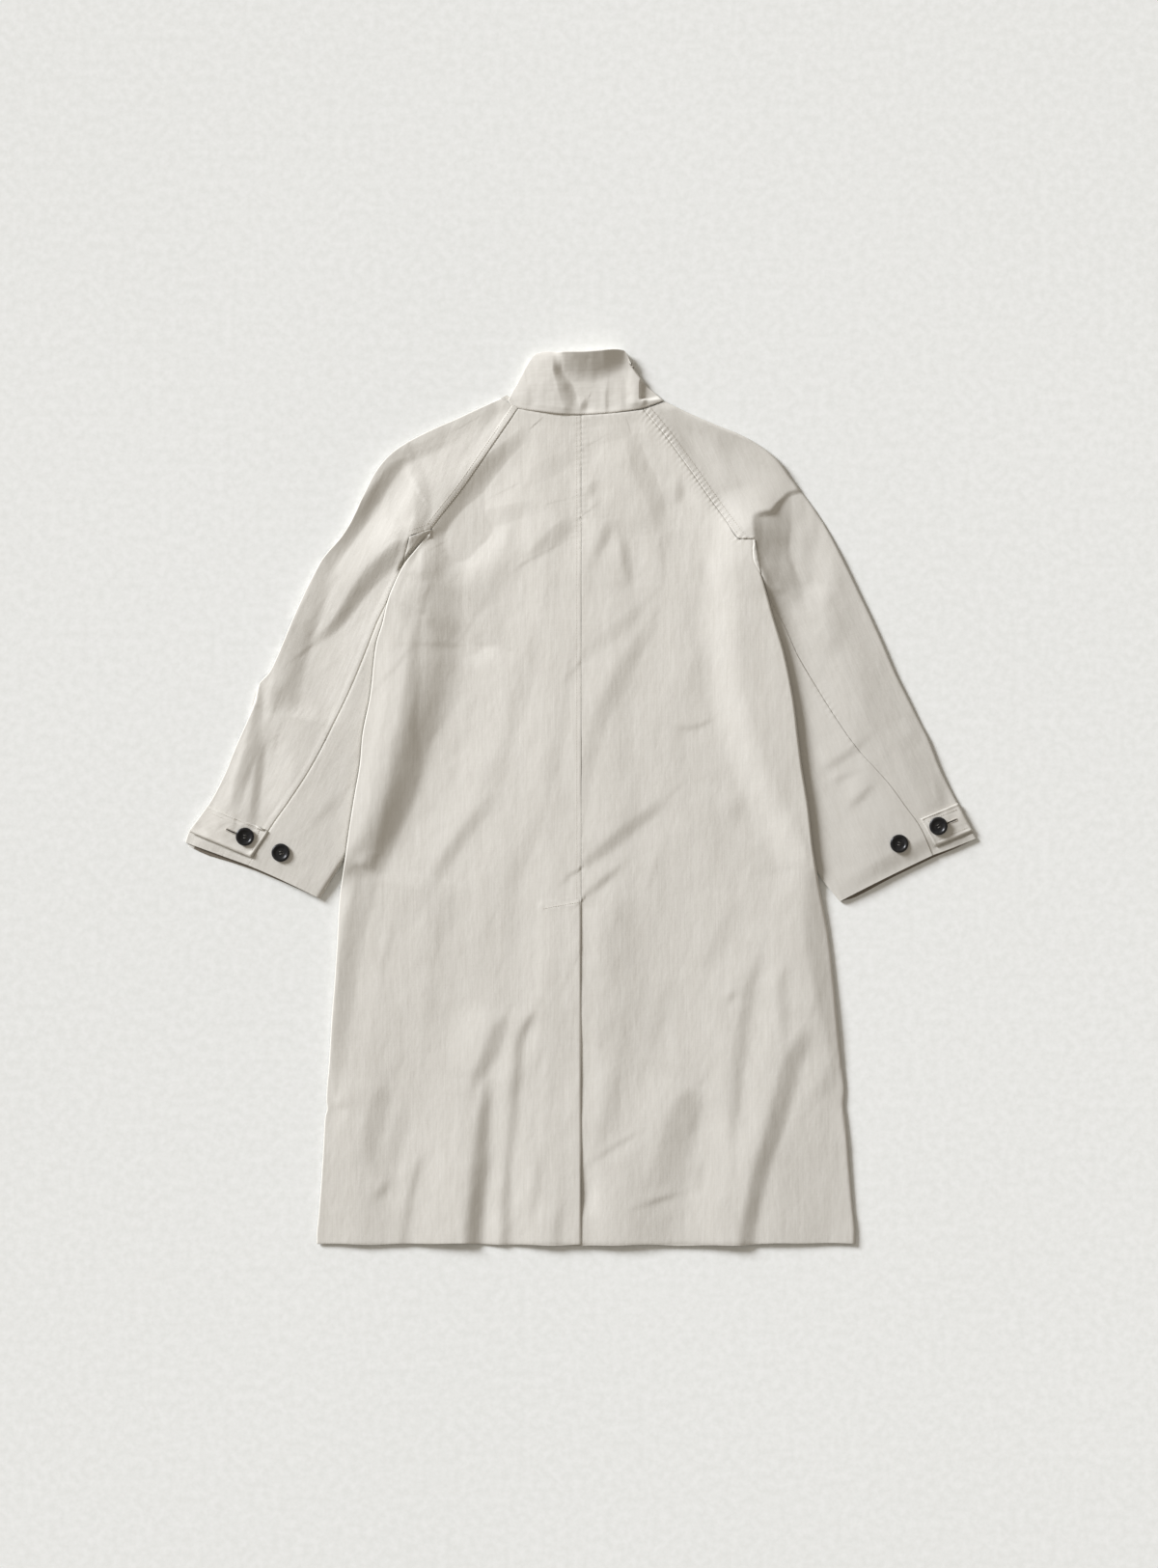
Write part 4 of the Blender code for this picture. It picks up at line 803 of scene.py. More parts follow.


# Near-black cloth that paints shade where there is only shadow: the buttonhole's slit and, made paler, the cuff's
# opening.
def dark_material(name="slit_shadow", pale=1.0):
    mat = bpy.data.materials.new(name)
    tree, shader = nodes_of(mat)
    coord = tree.nodes.new("ShaderNodeTexCoord").outputs["Object"]
    n = noise_node(tree, coord, 900.0, 2.0)
    ramp = tree.nodes.new("ShaderNodeValToRGB")
    ramp.color_ramp.elements[0].color = (0.035 * pale, 0.03 * pale, 0.024 * pale, 1)
    ramp.color_ramp.elements[1].color = (0.075 * pale, 0.065 * pale, 0.052 * pale, 1)
    link(tree, n, ramp.inputs["Fac"])
    link(tree, ramp.outputs["Color"], shader.inputs["Base Color"])
    shader.inputs["Roughness"].default_value = 0.95
    return mat


MAT = {
    "back_left": cloth_material("cotton_back_left", 0.0, 0.0),
    "back_right": cloth_material("cotton_back_right", 0.0, 1.7),
    "front": cloth_material("cotton_fronts", 0.0, 3.1),
    # The last number darkens a whole piece's cloth as painted shade: the right sleeve most, then the collar, then the
    # left sleeve.
    "sleeve_left": cloth_material("cotton_sleeve_left", 0.42, 4.3, 0.965),
    "sleeve_right": cloth_material("cotton_sleeve_right", -0.42, 5.9, 0.93),
    "collar": cloth_material("cotton_collar", 1.5708, 7.7, 0.95),
    "strap_left": cloth_material("cotton_strap_left", 1.1, 8.3),
    "strap_right": cloth_material("cotton_strap_right", -1.1, 9.1),
    "thread": thread_material(), "button_thread": thread_material("button_thread", 0.2), "button": button_material(), "slit": dark_material(), "inside": dark_material("cuff_opening_painted_shade", 4.2),
}


# ---------------------------------------------------------------- back
def back_grid(side):
    rows = ROWS_BACK_LEFT if side < 0 else ROWS_BACK_RIGHT
    u, places = row_places(rows, 3.1, (6, 1.75))
    t = flat([(r[1], r[2], (CENTRE[1] - r[0]) * UNIT) for r in rows])
    at = pchip(u, t, places)
    X, Y = [], []
    end = SEAM_X + side * 0.15
    for xe, ye, yc in at:
        width = abs(xe - end)
        d = across(width, 74)
        start = 0.15 * float(S((ye - Y_ARMPIT) / 10))
        s = (d / width) * (1 - start / width) + start / width
        x = xe + (end - xe) * s
        dip = 5.0 * max(0.0, 1 - (508 - yc) / 60)
        y = ye + (yc - ye) * s - dip * s * (1 - s) * 0.8
        if yc < -560:  # the hem waves a little
            y = y + (0.9 * np.sin(x / 37.0) + 0.5 * np.sin(x / 13.0 + 1.0)) * float(S((-560 - yc) / 34))
        X.append(x)
        Y.append(y)
    return np.array(X), np.array(Y), at


def make_back_left():
    X, Y, _ = back_grid(-1)
    below = S((Y_VENT + 1 - Y[:, -1]) / 10)[:, None]
    near_edge = S((X - (SEAM_X - 14)) / 14)
    X = X - below * near_edge * (0.35 + 0.5 * lattice(Y / 90, Y * 0 + 0.3, 5))
    Z = back_top(X, Y, -1)
    obj = grid_object("back_left_cloth", X, Y, Z, MAT["back_left"], THICK)
    return ride(obj, ["back_left"])


def make_back_right():
    """With the underlap of the vent, which runs on beneath the left panel."""
    X, Y, at = back_grid(1)
    Z = back_top(X, Y, 1)
    past = np.array([3.0, 8.0, 16.0, 26.0, 38.0, 50.0, 51.0])
    yc = Y[:, -1:]
    x2 = SEAM_X - np.repeat(past[None, :], len(X), 0)
    y2 = np.repeat(yc, len(past), 1)
    under = np.minimum(Z[:, -1:], 5.4) - 0.9 * S(past / 8)[None, :] - 0.5 * S((past - 30) / 20)[None, :]
    z2 = np.maximum(under, 3.9)
    lap = (yc[:, 0] < Y_VENT)
    keep = np.ones((X.shape[0] - 1, X.shape[1] - 1 + len(past)), bool)
    keep[:, X.shape[1] - 1:] = (lap[:-1] & lap[1:])[:, None]
    obj = grid_object("back_right_cloth", np.hstack([X, x2]), np.hstack([Y, y2]), np.hstack([Z, z2]), MAT["back_right"], THICK, keep)
    return ride(obj, ["back_right"])


# ---------------------------------------------------------------- sleeves
def lofted(rows, tall, fine_rows, count, bow=0.0):
    u, places = row_places(rows, tall, fine_rows)
    t = flat(rows)
    inner = flat([r[2:] for r in rows])
    at = pchip(u, np.hstack([t[:, :2], inner]), places)
    X, Y = [], []
    for k, (x0, y0, x1, y1) in enumerate(at):
        width = math.hypot(x1 - x0, y1 - y0)
        d = across(width, count)
        s = d / width * (1 - 0.05 / width)
        hang = bow * float(S(1 - (places[-1] - places[k]) / 40.0))
        X.append(x0 + (x1 - x0) * s)
        Y.append(y0 + (y1 - y0) * s - hang * 4 * s * (1 - s))
    return np.array(X), np.array(Y)


def make_sleeve_back(side):
    name = "left" if side < 0 else "right"
    rows = ROWS_SLEEVE_LEFT if side < 0 else ROWS_SLEEVE_RIGHT
    X, Y = lofted(rows, 2.5, (9, 1.9), 34, 0.0 if side < 0 else 0.6)
    Z = sleeve_top(X, Y, side)
    obj = grid_object(f"sleeve_{name}_back_cloth", X, Y, Z, MAT["sleeve_" + name], THICK)
    return ride(obj, [f"sleeve_{name}_back"])


def make_sleeve_front(side):
    """The ply on the floor and, in one sheet with it, the cloth that comes
    round the inner fold to the underarm seam."""
    name = "left" if side < 0 else "right"
    rows = ROWS_STRIP_LEFT if side < 0 else ROWS_STRIP_RIGHT
    X, Y = lofted(rows, 2.6, (3, 2.2), 26, -1.2 if side < 0 else -0.8)
    gap = 0.05 / np.hypot(X[:, -1] - X[:, 0], Y[:, -1] - Y[:, 0])
    X = X + (X[:, -1:] - X[:, :1]) * gap[:, None]
    Y = Y + (Y[:, -1:] - Y[:, :1]) * gap[:, None]
    Z = sleeve_top(X, Y, side)
    lift = (1.2 if side > 0 else 0.8) * S((Y_VENT + 46 - Y) / 40)
    s = np.linspace(0, 1, X.shape[1])[None, :]
    Z = Z + lift * np.sin(np.pi * np.clip(s * 0.9, 0, 1)) ** 1.5
    # round the fold and back along the floor to the overarm edge
    outer = curve(OUTER_LEFT if side < 0 else OUTER_RIGHT, 1.5)
    x2, y2, z2 = [], [], []
    hem_y = Y[-1, -1]
    spread = pchip(np.linspace(0, 1, len(rows)), flat(ROWS_UNDERLIE[name]), np.linspace(0, 1, X.shape[0]))
    for k in range(X.shape[0]):
        xf, yf = X[k, -1], Y[k, -1]
        xo, yo = spread[k]
        span = math.hypot(xo - xf, yo - yf)
        ux, uy = (xo - xf) / span, (yo - yf) / span
        d = np.concatenate([[0.6, 1.6, 4.0], np.linspace(8.0, span - 1.6, 26)])
        from_hem = math.hypot(X[-1, -1] - xf, Y[-1, -1] - yf)
        show = float(S((24 - from_hem) / 24))
        x2.append(xf + ux * d)
        y2.append(yf + uy * d - show * UNIT * np.interp(d / span, *CUFF_BOW[name]))
        z2.append(np.interp(d, [0.6, 1.6, 4.0, 8.0], [1.15, 0.98, 0.95, 0.95]))
    obj = grid_object(
        f"sleeve_{name}_front_cloth", np.hstack([X, np.array(x2)]), np.hstack([Y, np.array(y2)]),
        np.hstack([Z, np.array(z2)]), MAT["sleeve_" + name], THICK,
    )
    # painted shade: near-black faces on the ply on the floor, where the cuff's opening lies in deep shade
    obj.data.materials.append(MAT["inside"])
    columns = X.shape[1] + 29 - 1
    for k, face in enumerate(obj.data.polygons):
        row, column = divmod(k, columns)
        if column > X.shape[1] and column < columns - 1 and row >= X.shape[0] - 9:
            face.material_index = 1
    return obj


# Where the ply on the floor reaches under the overarm edge, a row for each
# row of the strip
ROWS_UNDERLIE = {
    "left": [(366, 551), (354, 566), (339, 586), (326, 608), (310, 643), (301, 665), (293, 687), (277, 713), (253, 773), (236, 809), (222, 834), (208.5, 853), (194.5, 876)],
    "right": [(850, 540), (856, 551), (875, 587), (888, 614), (901, 641), (914, 670), (926, 698), (941, 728), (952, 750.5), (961, 768), (972, 796), (981, 815), (994, 840), (1009.5, 870)],
}
# How far below a straight line its hem hangs, in picture units, by the share
# of the way from the inner fold
CUFF_BOW = {
    "left": ([0, 0.1, 0.23, 0.49, 0.67, 0.85, 0.93, 1], [0, -0.8, -1.6, -2.2, -0.8, 1.8, 1.4, 0]),
    "right": ([0, 0.03, 0.1, 0.21, 0.3, 0.4, 0.5, 0.69, 0.86, 1], [0, 1.2, 3.2, 2.4, 1.2, 0.3, 0, -0.8, 0.4, 0]),
}
# The same ply above the armpit, up to the neck: outer edge and raglan seam
ROWS_UPPER = {
    "left": [(525, 409.5, 541, 422), (475, 436, 519, 455), (429, 458, 499, 484), (408, 478, 481, 509), (384, 517, 452, 547), (366, 551, 440, 560)],
    "right": [(688, 418.4, 664, 427), (713, 431, 681, 447), (761, 451, 702, 475), (805, 480, 733, 519), (829, 512.5, 750, 543), (850, 540, 768, 564)],
}


def make_upper_front(side):
    name = "left" if side < 0 else "right"
    X, Y = lofted(ROWS_UPPER[name], 6.0, None, 14)
    Z = 0.95 + 0.0 * X
    return grid_object(f"upper_{name}", X, Y, Z, MAT["sleeve_" + name], THICK - 0.06)


def joined(name, objs, nodes=()):
    """One mesh from several, with their modifiers applied."""
    graph = bpy.context.evaluated_depsgraph_get()
    graph.update()
    bm = bmesh.new()
    mats = []
    for o in objs:
        mesh = bpy.data.meshes.new_from_object(o.evaluated_get(graph))
        for slot_mat in mesh.materials:
            if slot_mat not in mats:
                mats.append(slot_mat)
        index = [mats.index(m) for m in mesh.materials] or [0]
        for p in mesh.polygons:
            p.material_index = index[min(p.material_index, len(index) - 1)]
        mesh.transform(o.matrix_world)
        bm.from_mesh(mesh)
        bpy.data.meshes.remove(mesh)
    mesh = bpy.data.meshes.new(name)
    bm.to_mesh(mesh)
    bm.free()
    for m in mats:
        mesh.materials.append(m)
    for o in objs:
        bpy.data.objects.remove(o, do_unlink=True)
    obj = bpy.data.objects.new(name, mesh)
    bpy.context.scene.collection.objects.link(obj)
    return ride(obj, nodes)


# ---------------------------------------------------------------- fronts
def make_front(side):
    """Hidden beneath: plain, its lap at the centre, over the sleeve's fold."""
    name = "left" if side < 0 else "right"
    edge = P["edge_" + name]
    ys = np.concatenate([np.linspace(500, 350, 40), np.linspace(345, -588, 190)])
    order = np.argsort(edge[:, 1])
    rag = P["raglan_" + name]
    ro = np.argsort(rag[:, 1])
    X, Y, Z = [], [], []
    for y in ys:
        if y > Y_ARMPIT:
            out = float(np.interp(y, rag[ro, 1], np.abs(rag[ro, 0]))) - 3
        else:
            out = float(np.interp(y, edge[order, 1], np.abs(edge[order, 0]))) - 4.5
        lap = np.linspace(-30, out, 62)
        ax = lap.copy()
        neck = np.interp(np.abs(ax), [0, 20, 40, 60, 80, 96], [450, 453, 462, 475, 491, 506])
        yy = np.minimum(y, neck - (500 - y) * 0.08)
        fold = float(hidden_fold(side, y))
        lift = 3.1 * float(S((Y_ARMPIT + 4 - y) / 40)) * float(S((y + 140) / 40))
        z = 0.95 + lift * S((ax - (fold - 26)) / 24)
        if side > 0:
            z = z + 1.6 * S((62 - ax) / 26)
        z = z + 0.12 * lattice(ax / 40, yy / 90, 88 + side) * S((ax - 70) / 20) * 0
        X.append(side * lap + SEAM_X)
        Y.append(yy)
        Z.append(z)
    obj = grid_object(f"front_{name}_cloth", np.array(X), np.array(Y), np.array(Z), MAT["front"], THICK)
    return ride(obj, [f"front_{name}"])


# ---------------------------------------------------------------- collar
COLLAR_FOOT = [(526.5, 415), (530, 420.2), (537, 423.6), (560, 427.2), (582, 429.6), (602, 430.4), (630, 428.8), (648, 426.6), (662.5, 424.2), (676, 420), (688, 415.6)]
COLLAR_HEAD = [(552.5, 370), (557, 366.6), (564, 365.2), (582, 365.8), (600, 366), (620, 364.8), (640, 363.2), (646, 363.8), (649.5, 367.5), (652, 373), (654, 378)]
COLLAR_LEFT = [(526.5, 415), (532, 405), (539.5, 392), (546, 380), (552.5, 370)]
COLLAR_RIGHT = [(688, 415.6), (678, 407), (670.5, 400.8), (664, 392), (658, 384), (654, 378)]


# The collar by place: its upper outline, how far the long slope below its top
# reaches, and heights in mm of its top and of its foot
COLLAR_TOP = [(526, 416), (532, 405), (540, 391), (546, 380.5), (553, 370), (563, 365.4), (580, 365.6), (600, 366), (620, 364.8), (640, 363.2), (646, 364), (650, 368), (656, 381), (664, 392), (671, 401), (690, 416)]
COLLAR_SLOPE = [(555, 17), (574, 21), (585, 25), (600, 28), (612, 28), (626, 25), (640, 20), (648, 14), (656, 10), (690, 8)]
COLLAR_CREST = [(555, 12.0), (565, 13.0), (574, 14.8), (580, 17.8), (586, 20.2), (594, 21.3), (604, 21.4), (624, 21.2), (633, 18.0), (641, 13.2), (648, 9.4), (655, 8.0), (664, 6.8), (690, 6.4)]
COLLAR_AT_FOOT = [(526, 6.0), (540, 7.0), (560, 8.4), (582, 9.2), (592, 8.2), (604, 7.2), (630, 6.9), (655, 6.9), (668, 6.5), (690, 6.2)]
COLLAR_SIDE = [(364, 561), (370, 552.5), (380, 546), (392, 539.5), (405, 532), (416, 526.5), (432, 526)]  # y, x


def collar_top(x, y):
    """Upper surface of the collar: a broad left face up to a crease, the
    turned-over top with its long slope, and the hollow by the right shoulder."""
    px, py = x / UNIT + CENTRE[0], CENTRE[1] - y / UNIT
    right, _, _ = near(P["collar_right"], x, y, 40.0)
    foot, _, _ = near(P["foot"], x, y, 60.0)
    right, foot = np.abs(right), np.abs(foot)
    # left face
    out = np.maximum(px - rule(py, COLLAR_SIDE), 0) * UNIT
    rate = 0.19 - 0.07 * S((py - 396) / 26)
    face = 5.4 + 3.4 * S((420 - py) / 56) + 8.6 * (1 - np.exp(-rate * out / 8.6))
    # turned-over top, its slope and the cloth below it
    t = np.clip((py - rule(px, COLLAR_TOP)) / rule(px, COLLAR_SLOPE), 0, 1.2)
    fall = np.where(t < 0.7, 1.086 * t, 1 - 0.24 * ((1.2 - t) / 0.5) ** 2)
    low = 5.9 + 0.3 * S((py - 400) / 26) + 0.3 * S((px - 618) / 22) + 2.6 * S((px - 641) / 19) * S((672 - px) / 6)
    crest = rule(px, COLLAR_CREST)
    middle = low + (np.maximum(crest, low) - low) * (1 - fall)
    k = np.clip((px - 572.5 - 12 * np.clip((py - 384) / 42, 0, 1)) / (10 + 7 * S((py - 386) / 14)), 0, 1)
    k = 0.5 * S(k) + 0.5 * k
    z = face * (1 - k) + middle * k
    z = z + relief("c", x, y) + 0.2 * lattice(x / 14, y / 22, 91) + 0.07 * lattice(x / 6, y / 16, 92)
    pit = S((px - 662) / 3.5) * S((415.5 - py) / 3.5) * S((py - 393) / 6)
    z = z * (1 - pit) + 3.0 * pit
    lip = S((px - 660) / 6) * np.exp(-(((foot - 4.5) / 3.0) ** 2))
    z = z + 1.0 * lip
    share = S((10.0 - foot) / 10.0)
    z = z * (1 - share) + (rule(px, COLLAR_AT_FOOT) + 0.5 * relief("c", x, y)) * share
    z = z - 0.45 * np.exp(-((foot / 0.9) ** 2)) + 0.15 * np.exp(-(((foot - 3.2) / 1.4) ** 2))
    down = 1 - roll(right, 3.0)
    z = z * (1 - down) + (1.6 + 0.3 * z) * down
    return np.clip(z, 2.8, 21.6)


def coons(foot, head, left, right, nu, nv):
    """A grid inside four edges: foot and head run left to right."""
    def even(points, n):
        c = curve(points, 0.5)
        s = np.concatenate([[0], np.cumsum(np.hypot(*np.diff(c[:, :2], axis=0).T))])
        q = np.linspace(0, s[-1], n)
        return np.stack([np.interp(q, s, c[:, 0]), np.interp(q, s, c[:, 1])], -1)

    f, h, l, r = even(foot, nu), even(head, nu), even(left, nv), even(right, nv)
    u = np.linspace(0, 1, nu)[None, :, None]
    v = np.linspace(0, 1, nv)[:, None, None]
    return (
        (1 - v) * f[None] + v * h[None] + (1 - u) * l[:, None] + u * r[:, None]
        - ((1 - u) * (1 - v) * f[0] + u * (1 - v) * f[-1] + (1 - u) * v * h[0] + u * v * h[-1])
    )


def make_collar():
    P["head"], P["foot"] = curve(COLLAR_HEAD, 0.8), curve(COLLAR_FOOT, 0.8)
    P["collar_left"], P["collar_right"] = curve(COLLAR_LEFT, 0.8), curve(COLLAR_RIGHT, 0.8)
    g = coons(COLLAR_FOOT, COLLAR_HEAD, COLLAR_LEFT, COLLAR_RIGHT, 170, 84)
    X, Y = g[..., 0], g[..., 1]
    Z = collar_top(X, Y)
    upper = grid_object("collar_upper", X, Y, Z, MAT["collar"], COLLAR_THICK)
    # the other ply of the loop lies on the floor, with the collar's two ends
    # meeting at the centre front
    lower = []
    for side in (-1, 1):
        foot = [(602 + side * 0.3, 472), (602 + side * 16, 469.5), (602 + side * 31, 463), (602 + side * 47, 452), (602 + side * 61, 440), (602 + side * 74, 424)]
        head = [(602 + side * 0.3, 405), (602 + side * 14, 402), (602 + side * 24, 396), (602 + side * 34, 388), (602 + side * 42, 379), (602 + side * 46, 372)]
        lside = [(602 + side * 0.3, 472), (602 + side * 0.3, 438), (602 + side * 0.3, 405)]
        rside = [(602 + side * 74, 424), (602 + side * 63, 400), (602 + side * 46, 372)]
        g = coons(foot, head, lside, rside, 50, 30)
        lower.append(grid_object(f"collar_lower_{side}", g[..., 0], g[..., 1], 2.1 + 0.0 * g[..., 0], MAT["collar"], 1.8))
    # the fold all round joins the plies
    path = np.vstack([P["collar_left"][:, :2], P["head"][1:, :2], P["collar_right"][::-1][1:, :2]])[::2]
    tx, ty = np.gradient(path[:, 0]), np.gradient(path[:, 1])
    n = np.hypot(tx, ty)
    turns = np.linspace(0, 1, 11)[None, :]
    inset = 0.75 + 0.9 * np.sin(np.pi * turns)
    X = path[:, :1] + (ty / n)[:, None] * inset
    Y = path[:, 1:] - (tx / n)[:, None] * inset
    Z = (collar_top(path[:, 0], path[:, 1]) - 1.1)[:, None] * (1 - turns) + 1.3 * turns
    sides = [grid_object("collar_turn", X, Y, Z, MAT["collar"], 0.9, offset=0.0)]
    return joined("collar_cloth", [upper, *lower, *sides], ["collar"])


# ---------------------------------------------------------------- straps
STRAPS = {
    "left": {
        "rows": [(215.6, 835.2, 271, 859.2), (209.6, 844, 278.4, 862), (203.0, 853.6, 269, 876), (197.2, 862.4, 260.2, 888.6)],
        "button": (254.4, 867.0), "hole": ((235.2, 859.4), (245.6, 864.0)), "sleeve_button": (291.3, 883.6),
    },
    "right": {
        "rows": [(992.4, 832.2, 952.8, 848.8), (998, 841.8, 956, 853.6), (1003.4, 852, 962.6, 865.6), (1008, 860.8, 969, 877.2)],
        "button": (971.8, 856.0), "hole": ((981.0, 853.2), (991.0, 849.2)), "sleeve_button": (931.3, 874.3),
    },
}


def strap_top(x, y, side):
    return sleeve_top(x, y, side) + STRAP_THICK + 0.55


def make_strap(side):
    name = "left" if side < 0 else "right"
    t = flat(STRAPS[name]["rows"])
    inner = flat([r[2:] for r in STRAPS[name]["rows"]])
    u = np.concatenate([[0], np.cumsum(np.hypot(*np.diff(t[:, :2], axis=0).T))])
    total = u[-1]
    q = np.array([0, 0.5, 1.2, 2.2, 3.4, 5.0, 7.0, 9.5, 12, 14.5, 17, 19.5, 22, 24.5, 27])
    q = np.unique(np.concatenate([q[q < total / 2], total - q[q < total / 2]]))
    at = pchip(u, np.hstack([t[:, :2], inner]), q)
    X, Y, E, T = [], [], [], []
    for k, (x0, y0, x1, y1) in enumerate(at):
        width = math.hypot(x1 - x0, y1 - y0)
        d = across(width, 34)
        X.append(x0 + (x1 - x0) * d / width)
        Y.append(y0 + (y1 - y0) * d / width)
        edge = np.minimum(np.minimum(q[k], total - q[k]), width - d)
        E.append(edge)
        T.append(np.full(len(d), q[k]))
    X, Y, E, T = np.array(X), np.array(Y), np.array(E), np.array(T)
    Z = strap_top(X, Y, side)
    Z = Z - (0.6 if side < 0 else 0.3) * np.exp(-((E / 0.9) ** 2)) + 0.25 * np.exp(-(((E - 2.2) / 1.2) ** 2)) - 0.4 * np.exp(-(((E - 4.4) / 1.0) ** 2)) - 0.3 * np.exp(-(((E - 9.0) / 1.0) ** 2))
    Z = Z + (1.8 if side < 0 else 0.3) * S((T - total + 9) / 8)
    Z = Z + 0.35 * lattice(X / 13, Y / 13, 71 + side)
    P["strap_" + name] = (X, Y, Z)
    obj = grid_object(f"strap_{name}_cloth", X, Y, Z, MAT["strap_" + name], STRAP_THICK)
    return ride(obj, [f"cuff_strap_{name}"])


# ---------------------------------------------------------------- buttons
def turned_mesh(profile, steps):
    bm = bmesh.new()
    rings = []
    for r, z in profile:
        if r < 1e-6:
            rings.append([bm.verts.new((0, 0, z))])
        else:
            rings.append([bm.verts.new((r * math.cos(a), r * math.sin(a), z)) for a in (2 * math.pi * k / steps for k in range(steps))])
    for a, b in zip(rings, rings[1:]):
        for k in range(steps):
            n = (k + 1) % steps
            if len(a) == 1:
                bm.faces.new((a[0], b[k], b[n]))
            elif len(b) == 1:
                bm.faces.new((a[k], b[0], a[n]))
            else:
                bm.faces.new((a[k], b[k], b[n], a[n]))
    bmesh.ops.recalc_face_normals(bm, faces=bm.faces)
    return bm


def rod(points, radius, sides=6):
    """A closed tube through points, with round-ish ends."""
    pts = [Vector(p) for p in points]
    bm = bmesh.new()
    rings = []
    for k, p in enumerate(pts):
        t = (pts[min(k + 1, len(pts) - 1)] - pts[max(k - 1, 0)]).normalized()
        a = t.orthogonal().normalized()
        if rings and last is not None:
            a = (last - t * last.dot(t)).normalized()
        last = a
        b = t.cross(a)
        scale = radius * (0.55 if k in (0, len(pts) - 1) else 1.0)
        rings.append([bm.verts.new(p + (a * math.cos(w) + b * math.sin(w)) * scale) for w in (2 * math.pi * i / sides for i in range(sides))])
    for r0, r1 in zip(rings, rings[1:]):
        for i in range(sides):
            j = (i + 1) % sides
            bm.faces.new((r0[i], r0[j], r1[j], r1[i]))
    bm.faces.new(rings[0][::-1])
    bm.faces.new(rings[-1])
    bmesh.ops.recalc_face_normals(bm, faces=bm.faces)
    return bm


def object_of(name, bm, mat, smooth=True):
    mesh = bpy.data.meshes.new(name)
    bm.to_mesh(mesh)
    bm.free()
    mesh.polygons.foreach_set("use_smooth", np.full(len(mesh.polygons), smooth))
    mesh.materials.append(mat)
    obj = bpy.data.objects.new(name, mesh)
    bpy.context.scene.collection.objects.link(obj)
    return obj


def make_button(name, node, at, z, turn, tilt):
    """A turned rim, a dished face and four holes, sewn on with thread."""
    x, y = ((at[0] - CENTRE[0]) * UNIT, (CENTRE[1] - at[1]) * UNIT)
    r = 11.5
    profile = [  # radius, height, mm; scaled below
        (0.0, 1.7), (2.0, 1.68), (4.4, 1.72), (6.2, 1.95), (7.2, 2.35), (7.7, 2.9), (8.2, 3.35), (8.9, 3.6), (9.7, 3.62),
        (10.5, 3.4), (11.1, 2.9), (11.45, 2.3), (11.5, 1.7), (11.2, 1.1), (10.4, 0.6), (8.6, 0.25), (5.0, 0.1), (0.0, 0.1),
    ]
    bm = turned_mesh([(a * 1.055 * MM, b * MM) for a, b in profile], 64)
    body = object_of(name, bm, MAT["button"])
    holes = bmesh.new()
    for k in range(4):
        a = turn + math.pi / 4 + k * math.pi / 2
        made = bmesh.ops.create_cone(holes, cap_ends=True, segments=16, radius1=0.00095, radius2=0.00095, depth=0.009)
        bmesh.ops.translate(holes, verts=made["verts"], vec=(2.35 * MM * math.cos(a), 2.35 * MM * math.sin(a), 0.002))
    cutter = object_of(name + "_cut", holes, MAT["button"])
    cut = body.modifiers.new("holes", "BOOLEAN")
    cut.operation = "DIFFERENCE"
    cut.solver = "EXACT"
    cut.object = cutter
    graph = bpy.context.evaluated_depsgraph_get()
    graph.update()
    mesh = bpy.data.meshes.new_from_object(body.evaluated_get(graph))
    body.modifiers.clear()
    body.data = mesh
    bpy.data.objects.remove(cutter, do_unlink=True)
    mesh.set_sharp_from_angle(angle=math.radians(38))
    place = Vector((x * MM, y * MM, z * MM))
    body.location = place
    body.rotation_euler = tilt
    body.data.transform(body.rotation_euler.to_matrix().to_4x4())
    body.rotation_euler = (0, 0, 0)
    body.data.transform(Matrix.Translation(place))
    body.location = (0, 0, 0)
    ride(body, [node])
    # two runs of thread through the holes and a wound shank beneath
    threads = []
    rng = random.Random(name)
    for k in (0, 1):
        for strand in range(4):
            a0 = turn + math.pi / 4 + k * math.pi
            a1 = a0 + math.pi / 2
            off = (strand - 1.5) * 0.28
            p0 = Vector((2.35 * math.cos(a0) + off * math.cos(a0), 2.35 * math.sin(a0) + off * math.sin(a0), 0.4))
            p1 = Vector((2.35 * math.cos(a1) + off * math.cos(a1), 2.35 * math.sin(a1) + off * math.sin(a1), 0.4))
            top = [(0, 0.0), (0, 1.3), (0.08, 1.86), (0.3, 2.05), (0.5, 2.1), (0.7, 2.05), (0.92, 1.86), (1, 1.3), (1, 0.0)]
            pts = []
            for t, h in top:
                p = p0.lerp(p1, t)
                pts.append(((p.x + x + rng.uniform(-0.03, 0.03)) * MM, (p.y + y) * MM, (h + z) * MM))
            threads.append(object_of("t", rod(pts, 0.00019), MAT["button_thread"]))
    coil = []
    for k in range(61):
        a = k / 12 * 2 * math.pi
        coil.append(((x + 1.9 * math.cos(a)) * MM, (y + 1.9 * math.sin(a)) * MM, (z - 1.0 + 1.05 * k / 60) * MM))
    threads.append(object_of("t", rod(coil, 0.0003), MAT["button_thread"]))
    joined(name + "_thread", threads)


